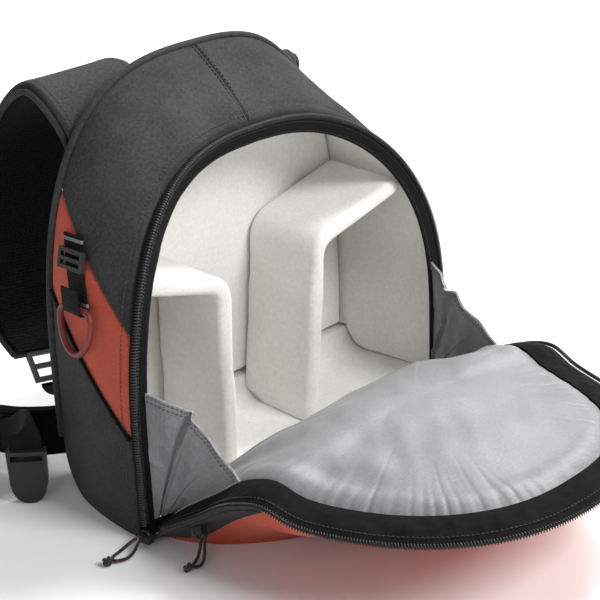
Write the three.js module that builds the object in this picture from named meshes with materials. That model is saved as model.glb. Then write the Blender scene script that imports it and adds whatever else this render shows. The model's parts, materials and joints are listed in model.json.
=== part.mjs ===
// Camera backpack, unzipped and standing on its base, with the front lid laid forward on the floor.
// Millimetres, +Z up. The opening faces -Y, the harness +Y, and +X is on the right from the front.

import * as THREE from 'three';

// Main body, outside
const BACK_HALF = 154;          // half width of the back edge
const BACK_TOP = 316;           // height of the back edge
const BACK_SHOULDER = 74;       // height where the back edge starts to round over
const BACK_POWER = 2.87;        // squareness of the back edge's arch
const RIM_HALF = 168;           // half width of the opening
const RIM_TOP = 265.5;          // height of the opening
const RIM_SHOULDER = 68.5;      // height where the opening starts to round over
const RIM_POWER = 2.49;         // squareness of the opening's arch
const BODY_DEPTH = 103;         // from the back edge to the opening, at the floor
const TOP_SETBACK = 43;         // how far the opening leans back at its top
const SETBACK_POWER = 4.1;      // how late up the opening that lean sets in
const BASE_RADIUS = 32;         // round between the base and the back
const BODY_CROWN = 4.5;         // how far the sides and top belly out between their seams
const SLUMP = 6.5;               // how far the right shoulder has sunk in at the back edge
const SLUMP_ALONG = 0.25;        // where it is deepest, as a share of the arch from its top
const SLUMP_WIDE = 0.13;         // share of the arch over which it fades
const SLUMP_SWELL = 2.8;         // how much more it sinks between the back edge and the opening
const CLOTH = 3;                // padded shell cloth
const THIN_CLOTH = 1.2;         // lining nylon
const SEAM_GAP = 0.4;           // clearance left where two pieces are sewn together
const BINDING_RADIUS = 2;       // piping around the back edge

// Red side panels, as heights on the back edge and on the opening
const RED_TOP_BACK = 237;
const RED_TOP_RIM = 157;
const RED_LOW_BACK = 165;
const RED_LOW_RIM = 81;

// Zip and black tape around the opening
const TAPE_WIDTH = 15;
const TAPE_THICK = 2;
const ZIP_RADIUS = 2.3;

// Plush lining and dividers
const PLUSH = 7;
const FLOOR_PLUSH = 8;
const DIVIDER_THICK = 14;
const DIVIDER_FRONT = 87;       // how far the dividers reach from the back edge
const LEFT_DIVIDER_X = -58;
const LEFT_DIVIDER_LEAN = 1;
const LEFT_DIVIDER_TOP = 160;
const LEFT_FLAP_RISE = 24;
const CENTRE_DIVIDER_X = 30;
const CENTRE_DIVIDER_LEAN = 14;
const CENTRE_DIVIDER_TOP = 163;
const CENTRE_FLAP_RISE = 22;
const FLAP_CLEAR = 3;           // between a flap's end and the plush wall

// Lid, opened forward
const LID_HALF = 166;
const LID_LENGTH = 278;
const LID_POWER = 2.5;
const LID_HEIGHT = 75;          // height of the lid's zip above the floor
const HINGE_GAP = 2;            // between the base and the lid
const BAND_WIDTH = 25;          // black band inside the lid's zip
const BAND_RISE = 5;
const LINING_CROWN = 12;        // how far the lid's lining puffs above its band
const CONTACT_HALF = 152;       // part of the lid that lies on the floor
const CONTACT_LENGTH = 105;
const CONTACT_POWER = 1.7;
const UNDER_POWER = 0.75;       // below 1 the lid's underside bulges
const UNDER_TUCK = 0.7;         // inner side of that cloth: in from the outer one, by its thickness
const HINGE_LINING_HEIGHT = 14;
const LID_ROLL = 2.4;           // how far the lid's cloth starts below its zip
const GUSSET_HEIGHT = 116;      // where the gussets meet the opening
const GUSSET_REACH = 0.3;       // share of the lid's length that the gussets reach
const GUSSET_FOLD = 8;          // how far a gusset folds inward
const GUSSET_LIFT = 1.1;        // how much it rises for that
const GUSSET_CREASE = 0.4;      // where the fold is, from the opening to the lid
const GUSSET_LOW = 12;          // height of a gusset's lower corner
const GUSSET_LAP = 3;           // how far a gusset laps over the tape and the band
const GUSSET_CLEAR = 1;         // and how far it stands clear of them
const POCKET_THICK = 1.6;       // grey panels on the lid's flanks
const POCKET_FIRST = 0.96;      // their two ends around the lid
const POCKET_LAST = 0.72;
const POCKET_DEEP = 0.43;       // how far down the flank they reach at the hinge
const POCKET_END = 0.04;        // and at the other end

// Height of the lid's zip along the lid, as shares of LID_LENGTH and LID_HEIGHT
const LID_RISE = [
  { reach: 0.0, rise: 0.05 },
  { reach: 0.06, rise: 0.24 },
  { reach: 0.21, rise: 0.62 },
  { reach: 0.33, rise: 0.91 },
  { reach: 0.42, rise: 1.0 },
  { reach: 0.52, rise: 0.92 },
  { reach: 0.7, rise: 0.935 },
  { reach: 1.0, rise: 1.03 },
];

// Back pad and harness
const BACK_PAD_THICK = 12;
const BACK_PAD_MARGIN = 22;
const BACK_PAD_LOW = 18;        // above the hip wings
const STRAP_THICK = 7;
const MESH_THICK = 5;
const STRAP_WIDTH = 78;
const STRAP_SPREAD = 80;        // middle of each shoulder strap, from the centre line
const STRAP_REACH = 100;        // how far a shoulder strap stands behind the back
const RIGHT_STANDS = 0.4;       // the right strap lies flatter: share of the left one's rise
const STRAP_SETTLE = 0.25;      // share of STRAP_REACH over which it comes down to that
const STRAP_ROOT = STRAP_THICK + SEAM_GAP * 2;
const STRAP_BEVEL = 2.5;        // how far a strap's outer face is narrower than its inner
const WEB_WIDTH = 25;
const WEB_THICK = 2;
const LADDER_WIDTH = 34;
const LADDER_HEIGHT = 26;
const LADDER_THICK = 4;
const LADDER_RIM = 3.4;
const STRAP_WEB_RISE = 20;      // where a strap's webbing is sewn, above the hip wing
const STRAP_WEB_LEAD = 10;      // how far it keeps the strap's direction
const HIP_WEB_PULL = 26;        // how stiffly the hip webbing leaves its wing, and reaches its buckle
const HIP_WEB_DROP = 38;
const WING_HEIGHT = 38;
const WING_LOW = 18;
const WING_THICK = 11;
const WING_SPREAD = 178;        // how far a hip wing stands out from the centre line
const WING_REACH = 135;         // how far it reaches behind the back
const BUCKLE_WIDTH = 30;
const BUCKLE_LENGTH = 44;
const BUCKLE_THICK = 9;
const BUCKLE_OUT = 10;          // how far the loose buckle hangs outside the wing
const BUCKLE_BACK = 1;          // and how far behind the back edge
const BUCKLE_SLOT = 5;          // height of its webbing slot
const BUCKLE_BAR = 3;           // bar above the slot
const FLOOR_CLEAR = 0.3;        // what hangs down stays this far above the floor

// Middle line of a shoulder strap: shares of STRAP_SPREAD, STRAP_REACH and BACK_TOP,
// and the strap's width there as a share of STRAP_WIDTH
const STRAP_LINE = [
  { out: 0.9, back: 0.008, up: 0.785, width: 1.0 },
  { out: 0.93, back: 0.052, up: 0.845, width: 1.02 },
  { out: 0.96, back: 0.13, up: 0.9, width: 1.08 },
  { out: 0.99, back: 0.25, up: 0.935, width: 1.12 },
  { out: 1.02, back: 0.41, up: 0.942, width: 1.06 },
  { out: 1.06, back: 0.62, up: 0.9, width: 1.0 },
  { out: 1.11, back: 0.83, up: 0.81, width: 0.95 },
  { out: 1.17, back: 0.95, up: 0.68, width: 0.9 },
  { out: 1.24, back: 0.98, up: 0.54, width: 0.88 },
  { out: 1.31, back: 0.93, up: 0.41, width: 0.86 },
  { out: 1.38, back: 0.81, up: 0.3, width: 0.82 },
  { out: 1.44, back: 0.63, up: 0.245, width: 0.62 },
];

// Middle line of a hip wing: shares of WING_SPREAD and WING_REACH, and of WING_HEIGHT
const WING_LINE = [
  { out: 0.42, back: 0.0, height: 1.0 },
  { out: 0.64, back: 0.015, height: 1.0 },
  { out: 0.83, back: 0.13, height: 1.0 },
  { out: 0.96, back: 0.34, height: 1.0 },
  { out: 1.02, back: 0.62, height: 0.92 },
  { out: 1.02, back: 0.84, height: 0.78 },
  { out: 1.0, back: 1.0, height: 0.55 },
];

// Gear loop on the left side
const GEAR_WEB_WIDTH = 21;
const GEAR_WEB_THICK = 1.6;
const GEAR_TOP = 213;
const GEAR_LOW = 166;
const GEAR_TOP_SHARE = 0.3;     // share of the depth where the webbing starts, from the back
const GEAR_LOW_SHARE = 0.47;
const RING_HALF = 19;            // half width of the ring, to the middle of its wire
const RING_TALL = 34;
const RING_WIRE = 2.4;
const RING_TUCK = 13;           // how far the webbing turns back up behind the ring
const GLIDE_HEIGHT = 15;
const GLIDE_WIDTH = 29;
const GLIDE_THICK = 3;
const GLIDE_RIM = 3;
const GEAR_STANDOFF = 0.8;      // between the webbing and the cloth

// Zip sliders and their cord pulls
const SLIDER_LENGTH = 11;
const SLIDER_WIDTH = 9;
const SLIDER_HEIGHT = 6;
const SLIDER_WIDE = 0.2;        // where a slider is widest, from its middle, as a share of its length
const SLIDER_LOW = 5.6;         // underside of the main slider above the floor
const CORD_RADIUS = 1.2;
const CORD_SPREAD = 4;          // half the width of a cord's loop
const KNOT_RADIUS = 4;
const MAIN_REACH = 24;          // how far the main slider's cord lies out from it
const POCKET_REACH = 12;        // and the pocket slider's
const POCKET_AROUND = 0.86;     // place of the pocket slider around the lid, and down its flank
const POCKET_DOWN = 0.3;

// One leg of each cord pull, from its slider to the knot: shares of the reach, of CORD_SPREAD and of
// the slider's height above where the cord lies
const MAIN_PULL = [
  { away: 0.0, spread: 0.45, up: 1.0 },
  { away: 0.12, spread: 0.7, up: 0.86 },
  { away: 0.3, spread: 1.1, up: 0.45 },
  { away: 0.52, spread: 1.3, up: 0.08 },
  { away: 0.76, spread: 1.15, up: 0.0 },
  { away: 0.94, spread: 0.65, up: 0.05 },
];
const POCKET_PULL = [
  { away: 0.0, spread: 0.45, up: 1.0 },
  { away: 0.2, spread: 0.55, up: 0.7 },
  { away: 0.3, spread: 0.7, up: 0.4 },
  { away: 0.48, spread: 0.85, up: 0.12 },
  { away: 0.78, spread: 0.8, up: 0.0 },
  { away: 0.96, spread: 0.45, up: 0.0 },
];

const shade = { plush: 0xd9d5cc, grey: 0x4a4a4c, red: 0xa14a38, silver: 0x9c9da1, black: 0x161617 };
const finish = (color, roughness = 0.85, metalness = 0) =>
  new THREE.MeshStandardMaterial({ color, roughness, metalness });

const X_AXIS = new THREE.Vector3(1, 0, 0);
const Y_AXIS = new THREE.Vector3(0, 1, 0);
const Z_AXIS = new THREE.Vector3(0, 0, 1);
const bag = new THREE.Group();
const cords = new THREE.Group();

// Adds one named piece
function addPiece(name, geometry, material, group = bag) {
  const mesh = new THREE.Mesh(geometry, material);
  mesh.name = name;
  group.add(mesh);
  return mesh;
}

const lerp = (a, b, k) => a + (b - a) * k;
const clamp01 = (k) => Math.min(1, Math.max(0, k));
const steps = (count, from = 0, to = 1) =>
  Array.from({ length: count + 1 }, (_, i) => lerp(from, to, i / count));

// Geometry from points and triangles, turned inside out if its faces point in
function closedGeometry(points, triangles) {
  let volume = 0;
  for (const [a, b, c] of triangles) {
    volume += points[a].dot(new THREE.Vector3().crossVectors(points[b], points[c]));
  }
  const index = triangles.flatMap(([a, b, c]) => (volume < 0 ? [a, c, b] : [a, b, c]));
  const geometry = new THREE.BufferGeometry();
  const flat = points.flatMap((p) => p.toArray());
  geometry.setAttribute('position', new THREE.Float32BufferAttribute(flat, 3));
  geometry.setIndex(index);
  return geometry;
}

// Wall between two grids of points. With loop its columns close on themselves, and with apex its
// first row is one point.
function wall(front, back, { loop = false, apex = false } = {}) {
  const rows = front.length;
  const cols = front[0].length;
  const points = [...front.flat(), ...back.flat()];
  const at = (side, r, c) => side * rows * cols + (apex && r === 0 ? 0 : r * cols + (c % cols));
  const triangles = [];
  const quad = (a, b, c, d) => {
    if (a !== b && b !== c && a !== c) triangles.push([a, b, c]);
    if (a !== c && c !== d && a !== d) triangles.push([a, c, d]);
  };
  const spans = loop ? cols : cols - 1;
  for (let r = 0; r < rows - 1; r += 1) {
    for (let c = 0; c < spans; c += 1) {
      quad(at(0, r, c), at(0, r, c + 1), at(0, r + 1, c + 1), at(0, r + 1, c));
      quad(at(1, r, c), at(1, r + 1, c), at(1, r + 1, c + 1), at(1, r, c + 1));
    }
  }
  for (let c = 0; c < spans; c += 1) {
    if (!apex) quad(at(0, 0, c), at(1, 0, c), at(1, 0, c + 1), at(0, 0, c + 1));
    quad(at(0, rows - 1, c), at(0, rows - 1, c + 1), at(1, rows - 1, c + 1), at(1, rows - 1, c));
  }
  for (let r = 0; r < rows - 1 && !loop; r += 1) {
    quad(at(0, r, 0), at(0, r + 1, 0), at(1, r + 1, 0), at(1, r, 0));
    quad(at(0, r, cols - 1), at(1, r, cols - 1), at(1, r + 1, cols - 1), at(0, r + 1, cols - 1));
  }
  return closedGeometry(points, triangles);
}

// Solid through a row of closed convex sections
function loft(sections) {
  const size = sections[0].length;
  const points = sections.flat();
  const triangles = [];
  for (let r = 0; r < sections.length - 1; r += 1) {
    for (let c = 0; c < size; c += 1) {
      const d = (c + 1) % size;
      triangles.push([r * size + c, r * size + d, (r + 1) * size + d]);
      triangles.push([r * size + c, (r + 1) * size + d, (r + 1) * size + c]);
    }
  }
  const last = (sections.length - 1) * size;
  for (let c = 1; c < size - 1; c += 1) {
    triangles.push([0, c + 1, c]);
    triangles.push([last, last + c, last + c + 1]);
  }
  return closedGeometry(points, triangles);
}

// Round cord or coil through a row of points
function tube(points, radius, sides, spans) {
  const curve = new THREE.CatmullRomCurve3(points);
  const section = new THREE.Shape();
  section.absarc(0, 0, radius, 0, Math.PI * 2);
  return new THREE.ExtrudeGeometry(section, { steps: spans, curveSegments: sides / 2, extrudePath: curve });
}

// One arch: straight sides up to the shoulder, then a superellipse. along runs from -1 at the left
// foot, through 0 at the top, to 1 at the right foot.
const ARCH_SHARE = 0.72;
function arch(along, half, shoulder, top, power) {
  const a = Math.abs(along);
  const side = Math.sign(along);
  if (a >= ARCH_SHARE) return { x: side * half, z: shoulder * (1 - a) / (1 - ARCH_SHARE) };
  const t = Math.sin((1 - a / ARCH_SHARE) * Math.PI / 2);
  return { x: side * half * (1 - t ** power) ** (1 / power), z: lerp(shoulder, top, t) };
}

// How far forward the opening stands at a height
const rimY = (z) => -BODY_DEPTH + TOP_SETBACK * clamp01(z / RIM_TOP) ** SETBACK_POWER;

// Height of the base's underside at a depth
function baseZ(y) {
  const inRound = Math.max(0, BASE_RADIUS + y);
  return BASE_RADIUS - Math.sqrt(BASE_RADIUS ** 2 - Math.min(inRound, BASE_RADIUS) ** 2);
}

// Point on the body's outside: along the arch, and deep from 0 at the back edge to 1 at the opening
function bodySkin(along, deep) {
  const b = arch(along, BACK_HALF, BACK_SHOULDER, BACK_TOP, BACK_POWER);
  const r = arch(along, RIM_HALF, RIM_SHOULDER, RIM_TOP, RIM_POWER);
  const y = rimY(r.z) * deep;
  let z = lerp(b.z, r.z, deep);
  if (Math.abs(along) > ARCH_SHARE) {
    const foot = (Math.abs(along) - ARCH_SHARE) / (1 - ARCH_SHARE);
    z = lerp(lerp(BACK_SHOULDER, RIM_SHOULDER, deep), baseZ(y), foot);
  }
  const slump = SLUMP * Math.exp(-(((along - SLUMP_ALONG) / SLUMP_WIDE) ** 2));
  const crown = BODY_CROWN * Math.sin(Math.PI * deep) - slump * (1 - deep) * (1 + SLUMP_SWELL * deep);
  const out = new THREE.Vector2(b.x / BACK_HALF, Math.max(0, (z - BACK_SHOULDER) / BACK_TOP)).normalize();
  return new THREE.Vector3(lerp(b.x, r.x, deep) + out.x * crown, y, z + out.y * crown);
}

// The same point moved inward by a depth, square to the skin
function bodyPoint(along, deep, inward = 0) {
  const step = 0.004;
  const du = bodySkin(along + step, deep).sub(bodySkin(along - step, deep));
  const dv = bodySkin(along, Math.min(1, deep + step)).sub(bodySkin(along, Math.max(0, deep - step)));
  const normal = new THREE.Vector3().crossVectors(du, dv).normalize();
  return bodySkin(along, deep).addScaledVector(normal, inward);
}

// Where along the left half of the arch the skin has a height
function alongAtHeight(z, deep) {
  let low = -1;
  let high = 0;
  for (let i = 0; i < 30; i += 1) {
    const mid = (low + high) / 2;
    if (bodySkin(mid, deep).z < z) low = mid;
    else high = mid;
  }
  return (low + high) / 2;
}

// How deep the skin, moved inward, crosses a plane of constant y
function deepAtY(along, inward, y) {
  let low = 0;
  let high = 1;
  for (let i = 0; i < 24; i += 1) {
    const mid = (low + high) / 2;
    if (bodyPoint(along, mid, inward).y > y) low = mid;
    else high = mid;
  }
  return (low + high) / 2;
}

// Height of the plush floor's top at a depth
function floorTop(y) {
  const radius = BASE_RADIUS - CLOTH - SEAM_GAP - FLOOR_PLUSH;
  const inRound = Math.max(0, BASE_RADIUS + y);
  return BASE_RADIUS - Math.sqrt(Math.max(0, radius ** 2 - inRound ** 2));
}

const DEPTH_STEPS = steps(6).map((k) => k ** 1.25);

// One sewn panel of the body, between two lines that cross its depth
function bodyPanel(name, lowAt, highAt, cols, material, outer = 0, thick = CLOTH, depths = DEPTH_STEPS) {
  const grid = (inward) => depths.map((deep) => steps(cols, lowAt(deep), highAt(deep))
    .map((along) => bodyPoint(along, deep, inward)));
  return addPiece(name, wall(grid(outer), grid(outer + thick)), material);
}

const redTop = (deep) => alongAtHeight(lerp(RED_TOP_BACK, RED_TOP_RIM, deep), deep);
const redLow = (deep) => alongAtHeight(lerp(RED_LOW_BACK, RED_LOW_RIM, deep), deep);
const SEAM_SHARE = SEAM_GAP / (BACK_TOP + RIM_HALF);

function buildBody() {
  const grey = finish(shade.grey);
  const red = finish(shade.red);
  bodyPanel('shell_upper', (v) => redTop(v) + SEAM_SHARE, (v) => -redTop(v) - SEAM_SHARE, 36, grey);
  for (const [side, tag] of [[1, 'left'], [-1, 'right']]) {
    const low = (v) => side * (redLow(v) + SEAM_SHARE);
    bodyPanel(`shell_red_${tag}`, low, (v) => side * (redTop(v) - SEAM_SHARE), 6, red);
    bodyPanel(`shell_lower_${tag}`, () => -side, (v) => side * (redLow(v) - SEAM_SHARE), 5, grey);
  }

  // Base, from the back round to the opening
  const inner = CLOTH + SEAM_GAP;
  const angles = steps(5, 0, Math.PI / 2);
  const baseRow = (lift, from = 0) => {
    const rows = angles.slice(from).map((a) => ({
      y: -BASE_RADIUS + (BASE_RADIUS - lift) * Math.cos(a),
      z: BASE_RADIUS - (BASE_RADIUS - lift) * Math.sin(a),
    }));
    return [...rows, { y: -BODY_DEPTH, z: lift }];
  };
  const halfAt = (y, inset) => lerp(BACK_HALF, RIM_HALF, clamp01(-y / BODY_DEPTH))
    + BODY_CROWN * Math.sin(Math.PI * clamp01(-y / BODY_DEPTH)) - inset;
  const baseGrid = (lift, inset, from, front) => baseRow(lift, from).map(({ y, z }) => [-1, -0.5, 0, 0.5, 1]
    .map((k) => new THREE.Vector3(k * halfAt(y, inset), Math.max(y, front), z)));
  const side = inner + SEAM_GAP;
  const base = [0, CLOTH].map((lift) => baseGrid(lift, side, 0, -BODY_DEPTH));
  addPiece('shell_base', wall(...base), grey);
  const padFront = -BODY_DEPTH + SEAM_GAP;
  addPiece('plush_floor', wall(
    baseGrid(inner, side, 1, padFront), baseGrid(inner + FLOOR_PLUSH, side, 1, padFront)), finish(shade.plush));

  // Flat back wall and its plush face, inside the skin at their front and at their rear
  const plate = (inset, low, thick, y) => {
    const left = alongAtHeight(low, 0);
    const outline = steps(32, left, -left).map((along) => {
      const [rear, front] = [y, y - thick].map((at) => bodyPoint(along, deepAtY(along, inset, at), inset));
      const x = Math.sign(along) * Math.min(Math.abs(rear.x), Math.abs(front.x));
      return new THREE.Vector2(x, Math.max(low, Math.min(rear.z, front.z)));
    });
    const options = { depth: thick, bevelEnabled: false };
    const geometry = new THREE.ExtrudeGeometry(new THREE.Shape(outline), options);
    return geometry.rotateX(Math.PI / 2).translate(0, y, 0);
  };
  const seam = inner + SEAM_GAP * 2;
  addPiece('shell_back', plate(seam, BASE_RADIUS + SEAM_GAP, CLOTH, 0), grey);
  const plushSeam = seam + PLUSH + SEAM_GAP * 2;
  addPiece('plush_back', plate(plushSeam, BASE_RADIUS + CLOTH, PLUSH, -inner), finish(shade.plush));

  // Plush on the sides and top, from the back wall to the opening
  const foot = (deep) => alongAtHeight(floorTop(rimY(0) * deep) + SEAM_GAP * 2.5, deep);
  const front = 0.99;
  const rear = -inner - SEAM_GAP * 4;
  const plushGrid = (inward) => steps(3).map((k) => steps(34, -1, 1).map((share) => {
    let deep = front;
    for (let i = 0; i < 3; i += 1) {
      deep = lerp(deepAtY(share * -foot(deep), inner + PLUSH, rear), front, k);
    }
    return bodyPoint(share * -foot(deep), deep, inward);
  }));
  addPiece('plush_walls', wall(plushGrid(inner), plushGrid(inner + PLUSH)), finish(shade.plush));

  // Bound seam around the back edge
  const route = steps(36, -0.93, 0.93).map((along) => bodyPoint(along, 0, -SEAM_GAP)
    .add(new THREE.Vector3(0, BINDING_RADIUS + SEAM_GAP * 2, 0)));
  addPiece('back_binding', tube(route, BINDING_RADIUS, 6, 40), finish(shade.black));
}

// Point on the tape around the opening: across is the distance in from the edge
function tapePoint(along, across, forward) {
  const p = bodySkin(along, 1);
  const step = 0.004;
  const ahead = bodySkin(along + step, 1);
  const behind = bodySkin(along - step, 1);
  const square = new THREE.Vector2(ahead.z - behind.z, behind.x - ahead.x).normalize();
  return new THREE.Vector3(p.x + square.x * across, p.y - forward, p.z + square.y * across);
}

function buildRim() {
  const black = finish(shade.black, 0.7);
  const grid = (forward) => [0, TAPE_WIDTH].map((across) => steps(44, -0.995, 0.995)
    .map((along) => tapePoint(along, across, forward)));
  addPiece('rim_tape', wall(grid(SEAM_GAP), grid(SEAM_GAP + TAPE_THICK)), black);
  const out = SEAM_GAP * 2 + TAPE_THICK + ZIP_RADIUS;
  const start = alongAtHeight(SLIDER_LOW + SLIDER_HEIGHT + SEAM_GAP * 2, 1);
  const route = steps(44, start, -start).map((along) => tapePoint(along, ZIP_RADIUS, out));
  addPiece('rim_zip', tube(route, ZIP_RADIUS, 6, 52), black);
}

// Solid between profiles of equal count that stand one behind another, capped at both ends
function profileLoft(profiles) {
  const size = profiles[0].length;
  const points = profiles.flat();
  const triangles = [];
  for (let r = 0; r < profiles.length - 1; r += 1) {
    for (let c = 0; c < size; c += 1) {
      const d = (c + 1) % size;
      triangles.push([r * size + c, r * size + d, (r + 1) * size + d]);
      triangles.push([r * size + c, (r + 1) * size + d, (r + 1) * size + c]);
    }
  }
  const last = (profiles.length - 1) * size;
  const flat = profiles[0].map((p) => new THREE.Vector2(p.x, p.z));
  const turn = THREE.ShapeUtils.isClockWise(flat) ? -1 : 1;
  for (const [i, j, k] of THREE.ShapeUtils.triangulateShape(flat, [])) {
    triangles.push(turn > 0 ? [i, k, j] : [i, j, k]);
    triangles.push(turn > 0 ? [last + i, last + j, last + k] : [last + i, last + k, last + j]);
  }
  return closedGeometry(points, triangles);
}

// A padded divider with a flap folded to one side
function buildDivider(name, { foot, lean, top, flapEnd, flapRise }) {
  const side = Math.sign(flapEnd - foot);
  const bend = DIVIDER_THICK;
  const knee = new THREE.Vector2(foot + lean, top);
  const kneeLow = new THREE.Vector2(lerp(foot, foot + lean, 0.92), top - bend);
  const kneeOut = new THREE.Vector2(knee.x + side * bend, top + flapRise * 0.16);
  const fold = new THREE.QuadraticBezierCurve(kneeLow, knee, kneeOut);
  const flap = new THREE.LineCurve(kneeOut, new THREE.Vector2(flapEnd, top + flapRise));
  const line = [...steps(4).map((k) => [fold, k]), [flap, 1]]
    .map(([curve, k]) => ({ p: curve.getPoint(k), t: curve.getTangent(k) }));
  const edge = (sign) => line.map(({ p, t }) => new THREE.Vector2(
    p.x - t.y * sign * DIVIDER_THICK / 2, p.y + t.x * sign * DIVIDER_THICK / 2));
  const upper = [...edge(1), ...edge(-1).reverse()];
  const rear = -CLOTH - PLUSH - SEAM_GAP * 3;
  const depths = [rear, ...steps(3, -BASE_RADIUS * 0.68, -BASE_RADIUS), -DIVIDER_FRONT];
  const profiles = depths.map((y) => {
    const floor = floorTop(y) + SEAM_GAP * 2;
    const feet = [-1, 1].map((sign) => new THREE.Vector2(foot + sign * DIVIDER_THICK / 2, floor));
    return [...upper, feet[1], feet[0]].map((p) => new THREE.Vector3(p.x, y, p.y));
  });
  return addPiece(name, profileLoft(profiles), finish(shade.plush));
}

// Widest place, at a height, that is clear of the plush on both sides
function clearHalf(z) {
  const inset = CLOTH + SEAM_GAP + PLUSH + FLAP_CLEAR;
  const far = DIVIDER_FRONT / BODY_DEPTH;
  return Math.min(...[0.1, far].map((deep) => -bodySkin(alongAtHeight(z, deep), deep).x)) - inset;
}

function buildDividers() {
  const leftEnd = clearHalf(LEFT_DIVIDER_TOP + LEFT_FLAP_RISE + DIVIDER_THICK / 2);
  const rightEnd = clearHalf(CENTRE_DIVIDER_TOP + CENTRE_FLAP_RISE + DIVIDER_THICK / 2);
  buildDivider('divider_left', {
    foot: LEFT_DIVIDER_X, lean: LEFT_DIVIDER_LEAN, top: LEFT_DIVIDER_TOP,
    flapEnd: -leftEnd, flapRise: LEFT_FLAP_RISE });
  buildDivider('divider_centre', {
    foot: CENTRE_DIVIDER_X, lean: CENTRE_DIVIDER_LEAN, top: CENTRE_DIVIDER_TOP,
    flapEnd: rightEnd, flapRise: CENTRE_FLAP_RISE });
}

const riseCurve = new THREE.CatmullRomCurve3(
  LID_RISE.map(({ reach, rise }) => new THREE.Vector3(reach, rise, 0)), false, 'centripetal');
const riseTable = riseCurve.getPoints(160);

// Height of the lid's zip at a share of the lid's length
function lidRise(reach) {
  const i = Math.max(1, riseTable.findIndex((p) => p.x >= reach));
  const a = riseTable[i - 1];
  const b = riseTable[i];
  return LID_HEIGHT * lerp(a.y, b.y, clamp01((reach - a.x) / (b.x - a.x)));
}

const HINGE_Y = -BODY_DEPTH - HINGE_GAP - TAPE_THICK - SEAM_GAP * 2;

// Point of a lid loop: around runs from -1 at the left hinge corner, through 0 at the tip, to 1
function lidLoop(around, inset, half = LID_HALF, length = LID_LENGTH, power = LID_POWER) {
  const t = Math.sin((1 - Math.abs(around)) * Math.PI / 2);
  const x = Math.sign(around) * (half - inset) * (1 - t ** power) ** (1 / power);
  return new THREE.Vector3(x, HINGE_Y - (length - inset) * t, lidRise(t));
}

const lidBand = (around, inset) => lidLoop(around, inset)
  .add(new THREE.Vector3(0, 0, BAND_RISE * clamp01(inset / BAND_WIDTH)));

// Underside of the lid: share runs from 0 at the zip to 1 where the lid lies on the floor
function lidUnder(around, share, lift = 0) {
  const rim = lidLoop(around, CLOTH + lift * UNDER_TUCK);
  const contact = lidLoop(around, lift * UNDER_TUCK, CONTACT_HALF, CONTACT_LENGTH, CONTACT_POWER);
  const p = rim.clone().lerp(contact, share);
  p.z = Math.max(0, rim.z - CLOTH - LID_ROLL) * (1 - share) ** UNDER_POWER + lift;
  return p;
}

const LID_LOOP = steps(44, -0.998, 0.998);

function buildLid() {
  const black = finish(shade.black, 0.7);
  const band = (drop) => [1, BAND_WIDTH / 2, BAND_WIDTH].map((inset) => LID_LOOP
    .map((s) => lidBand(s, inset).add(new THREE.Vector3(0, 0, -drop))));
  addPiece('lid_band', wall(band(0), band(TAPE_THICK)), black);

  const start = LID_LOOP.filter((s) => Math.abs(s) < 0.96);
  const route = start.map((s) => lidLoop(s, SEAM_GAP - ZIP_RADIUS));
  addPiece('lid_zip', tube(route, ZIP_RADIUS, 6, 52), black);

  // Outer cloth, from the zip down to the floor and in to the middle of what lies there
  const middle = new THREE.Vector3(0, HINGE_Y - CONTACT_LENGTH * 0.5, 0);
  const under = (lift) => [
    LID_LOOP.map(() => middle.clone().setZ(lift)),
    LID_LOOP.map((s) => middle.clone().lerp(lidUnder(s, 1), 0.55).setZ(lift)),
    ...[1, 0.93, 0.75, 0.5, 0.25, 0].map((share) => LID_LOOP.map((s) => lidUnder(s, share, lift))),
  ];
  addPiece('lid_panel', wall(under(0), under(CLOTH), { loop: true, apex: true }), finish(shade.red));

  // Lining, puffed up inside the band and down to the plush floor
  const centre = new THREE.Vector3(0, HINGE_Y - LID_LENGTH * 0.4, LID_HEIGHT + BAND_RISE + LINING_CROWN);
  const edge = LID_LOOP.map((s) => lidBand(s, BAND_WIDTH + SEAM_GAP));
  const corner = edge[0];
  const hinge = steps(8, corner.x, -corner.x).slice(1, -1).reverse()
    .map((x) => new THREE.Vector3(x, HINGE_Y, HINGE_LINING_HEIGHT));
  const loop = [...edge, ...hinge];
  const lining = (drop) => [0, 0.2, 0.4, 0.6, 0.8, 1].map((k) => loop.map((p) => {
    const q = centre.clone().lerp(p, k);
    q.z = lerp(centre.z, p.z, k ** 2.3) - drop;
    return q;
  }));
  const silver = finish(shade.silver, 0.55);
  addPiece('lid_lining', wall(lining(0), lining(THIN_CLOTH), { loop: true, apex: true }), silver);

  // Grey pocket panels beside the hinge: deep there, and narrow where they reach the zip
  for (const [side, tag] of [[-1, 'left'], [1, 'right']]) {
    const columns = LID_LOOP.filter((s) => s * side > POCKET_LAST && s * side < POCKET_FIRST);
    const grid = (lift) => [1, 0.5, 0].map((share) => columns
      .map((s) => {
        const k = (POCKET_FIRST - Math.abs(s)) / (POCKET_FIRST - POCKET_LAST);
        const p = lidUnder(s, share * (POCKET_END + POCKET_DEEP * (1 - k ** 3)));
        return p.add(new THREE.Vector3(side * lift, 0, -lift * 0.5));
      }));
    const clear = SEAM_GAP * 2;
    addPiece(`lid_pocket_${tag}`, wall(grid(clear), grid(clear + POCKET_THICK)), finish(shade.grey));
  }
}

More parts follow.
